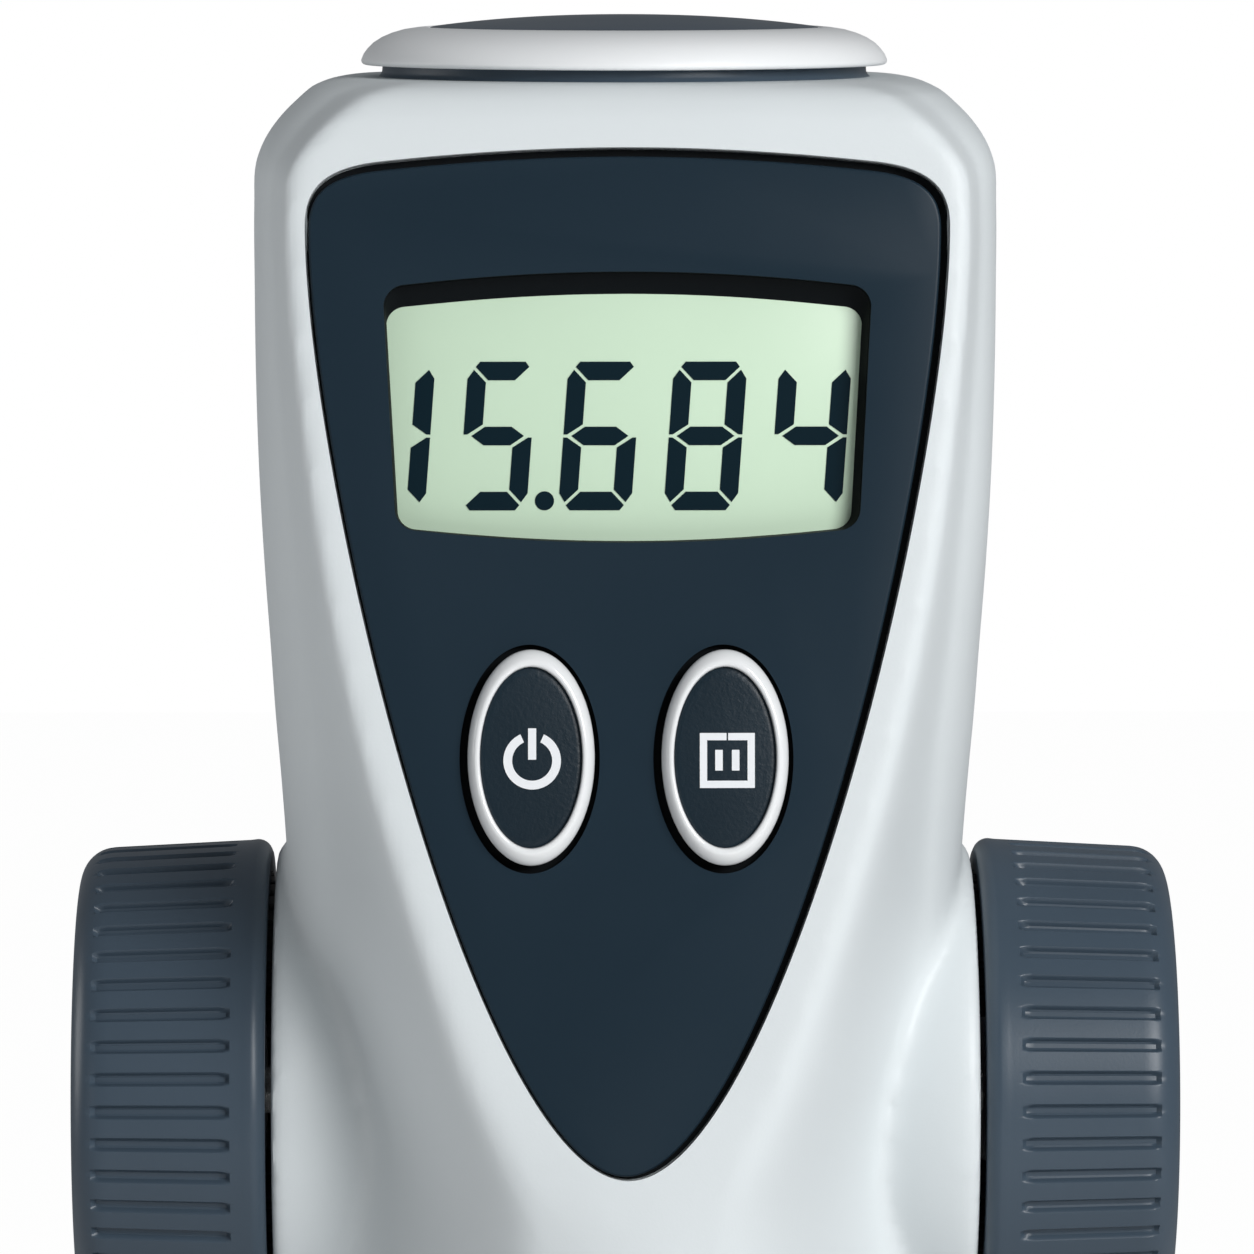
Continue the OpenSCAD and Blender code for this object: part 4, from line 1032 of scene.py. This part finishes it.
class BURETTE_OT_cap(bpy.types.Operator):
    """Turn the round top cap: neck, rim and domed cover"""
    bl_idname = "burette.cap"
    bl_label = "Top cap"

    def execute(self, context):
        for name, node, profile, finish, steps, drop in (
            # the rim takes the lighter cap finish, painted light
            ("top_cap_ring", "top_cap_rim", CAP_RIM, "cap", 220, CAP_DROP),
            ("top_cap_cover", "top_cap_dome", CAP_DOME, "slate_plastic", 200, CAP_DROP),
            ("top_cap_collar", "top_cap_neck", CAP_NECK, "slate_plastic", 200, 0),
        ):
            o = lathe(name, profile, FINISH[finish], steps, (0, CAP_Y, -drop))
            stands_for(o, node, 40)
        return {"FINISHED"}


# bevel width of each piece, in millimetres
SOFTENED = {
    "valve_block": 0.35, "union_nut": 0.3, "shield_sleeve": 0.3, "vent_cap": 0.3, "discharge_valve": 0.8,
    "recirculation_knob": 0.6, "arm_sleeve": 0.4, "tube_holder": 0.8, "tip_cap": 0.3, "battery_door": 0.4,
    "titrating_tube": 0.12, "front_window": 0.15, "rear_window": 0.15, "cylinder_collar": 0.2, "gear_frame": 0.3,
    "piston": 0.3, "arm_slider": 0.15, "filling_valve": 0.3, "glass_cylinder": 0.3,
}


class BURETTE_OT_softened(bpy.types.Operator):
    """Round the edges of the plainly made pieces, as moulding and tumbling leave them"""
    bl_idname = "burette.softened"
    bl_label = "Rounded edges"

    def execute(self, context):
        for node, width in SOFTENED.items():
            o = linked(node + "_finished", frame["nodes"][node].data.copy())
            with edited(o.data) as bm:
                bmesh.ops.remove_doubles(bm, verts=bm.verts, dist=2e-6)
                bmesh.ops.dissolve_limit(bm, angle_limit=math.radians(0.5), verts=bm.verts, edges=bm.edges)
            rounded(o, width * MM, 3, 32)
            stands_for(o, node, 34)
        return {"FINISHED"}


# name, place, aim, size and power of each soft light
LIGHTS = (
    ("key", (0.62, -0.88, 0.62), (0, 0, 0.2), 0.55, 10.9),
    ("fill", (-0.8, -0.8, 0.25), (0, 0, 0.2), 0.5, 0.35),
    ("low", (0.05, -1.0, -0.3), (0, 0, 0.22), 0.5, 2.7),
    ("side", (-1.0, 0.22, 0.3), (0, 0, 0.2), 0.5, 2.1),
)
CAMERA_PLACE, CAMERA_AIM = (-0.0085, -0.8, 0.277), (0.00025, 0, 0.1997)
CAMERA_SENSOR, CAMERA_LENS = 36.0, 223.8
FLOOR_HALF, FLOOR_GAP = 3, 0.002
FLOOR_WHITE = 0.985  # share of plain white that the camera sees on the floor; the rest takes light and shadow


def aimed(o, place, aim):
    """Puts a light or camera at a place, looking at aim."""
    o.location = place
    o.rotation_euler = (Vector(aim) - Vector(place)).to_track_quat("-Z", "Y").to_euler()
    bpy.context.scene.collection.objects.link(o)


def seen_directly(tree):
    """1 for camera rays, also through clear pieces, and 0 for bounced light."""
    path = add(tree, "ShaderNodeLightPath")
    return maths(tree, "MAXIMUM", None, {0: path.outputs["Is Camera Ray"], 1: path.outputs["Is Transmission Ray"]})


class BURETTE_OT_stage(bpy.types.Operator):
    """Set the pale floor, the soft lights and the camera"""
    bl_idname = "burette.stage"
    bl_label = "Stage"

    def execute(self, context):
        sc = bpy.context.scene
        self.floor()
        self.world(sc)
        for name, place, aim, size, power in LIGHTS:
            lamp = bpy.data.lights.new(name, "AREA")
            lamp.shape, lamp.size, lamp.energy = "DISK", size, power
            aimed(bpy.data.objects.new(name, lamp), place, aim)
        cam = bpy.data.cameras.new("camera")
        cam.sensor_width, cam.lens = CAMERA_SENSOR, CAMERA_LENS
        cam.clip_start, cam.clip_end = 0.01, 20
        sc.camera = bpy.data.objects.new("camera", cam)
        aimed(sc.camera, CAMERA_PLACE, CAMERA_AIM)
        sc.view_settings.view_transform = "Standard"
        return {"FINISHED"}

    def floor(self):
        """A plain matt floor, almost white to the camera."""
        low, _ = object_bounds()
        m, t = blank_material("pale_floor")
        glow = add(t, "ShaderNodeEmission", None, {"Color": (1, 1, 1, 1), "Strength": 1.0})
        matt = add(t, "ShaderNodeBsdfPrincipled", None, {"Base Color": (0.86, 0.86, 0.86, 1), "Roughness": 0.8})
        share = maths(t, "MULTIPLY", {1: FLOOR_WHITE}, {0: seen_directly(t)})
        mix = add(t, "ShaderNodeMixShader", None, None, {0: share, 1: matt.outputs["BSDF"], 2: glow.outputs[0]})
        add(t, "ShaderNodeOutputMaterial", None, None, {"Surface": mix.outputs[0]})
        h, z = FLOOR_HALF, low[2] - FLOOR_GAP
        floor = piece("floor", [(-h, -h, z), (h, -h, z), (h, h, z), (-h, h, z)], [(0, 1, 2, 3)], m)
        floor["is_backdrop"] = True

    def world(self, sc):
        """White to the camera, and a weak cool light to the part."""
        sc.world = bpy.data.worlds.new("studio")
        sc.world.use_nodes = True
        t = sc.world.node_tree
        t.nodes.clear()
        soft = add(t, "ShaderNodeBackground", None, {"Color": (0.93, 0.96, 1.0, 1), "Strength": 0.2})
        white = add(t, "ShaderNodeBackground", None, {"Color": (1, 1, 1, 1), "Strength": 1.0})
        parts = {0: seen_directly(t), 1: soft.outputs[0], 2: white.outputs[0]}
        mix = add(t, "ShaderNodeMixShader", None, None, parts)
        add(t, "ShaderNodeOutputWorld", None, None, {"Surface": mix.outputs[0]})


OPERATORS = (
    BURETTE_OT_finishes, BURETTE_OT_housing, BURETTE_OT_panel, BURETTE_OT_display, BURETTE_OT_buttons,
    BURETTE_OT_handwheels, BURETTE_OT_cap, BURETTE_OT_softened, BURETTE_OT_stage,
)


class BURETTE_PT_panel(bpy.types.Panel):
    """The burette's pieces and sizes"""
    bl_label = "Digital burette"
    bl_idname = "BURETTE_PT_panel"
    bl_space_type = "VIEW_3D"
    bl_region_type = "UI"
    bl_category = "Burette"

    def draw(self, context):
        for c in OPERATORS:
            self.layout.operator(c.bl_idname)
        for group in (context.scene.burette_sizes, context.scene.burette_colours):
            for p in group.bl_rna.properties:
                if p.identifier not in ("rna_type", "name"):
                    self.layout.prop(group, p.identifier)


CLASSES = (BuretteSizes, BuretteColours, *OPERATORS, BURETTE_PT_panel)


def register():
    for c in CLASSES:
        bpy.utils.register_class(c)
    bpy.types.Scene.burette_sizes = PointerProperty(type=BuretteSizes)
    bpy.types.Scene.burette_colours = PointerProperty(type=BuretteColours)


def unregister():
    del bpy.types.Scene.burette_sizes
    del bpy.types.Scene.burette_colours
    for c in reversed(CLASSES):
        bpy.utils.unregister_class(c)


def main():
    register()
    bpy.ops.burette.finishes()
    bpy.ops.burette.housing()
    bpy.ops.burette.panel()
    bpy.ops.burette.display()
    bpy.ops.burette.buttons()
    bpy.ops.burette.handwheels()
    bpy.ops.burette.cap()
    bpy.ops.burette.softened()
    bpy.ops.burette.stage()


if __name__ == "__main__":
    main()
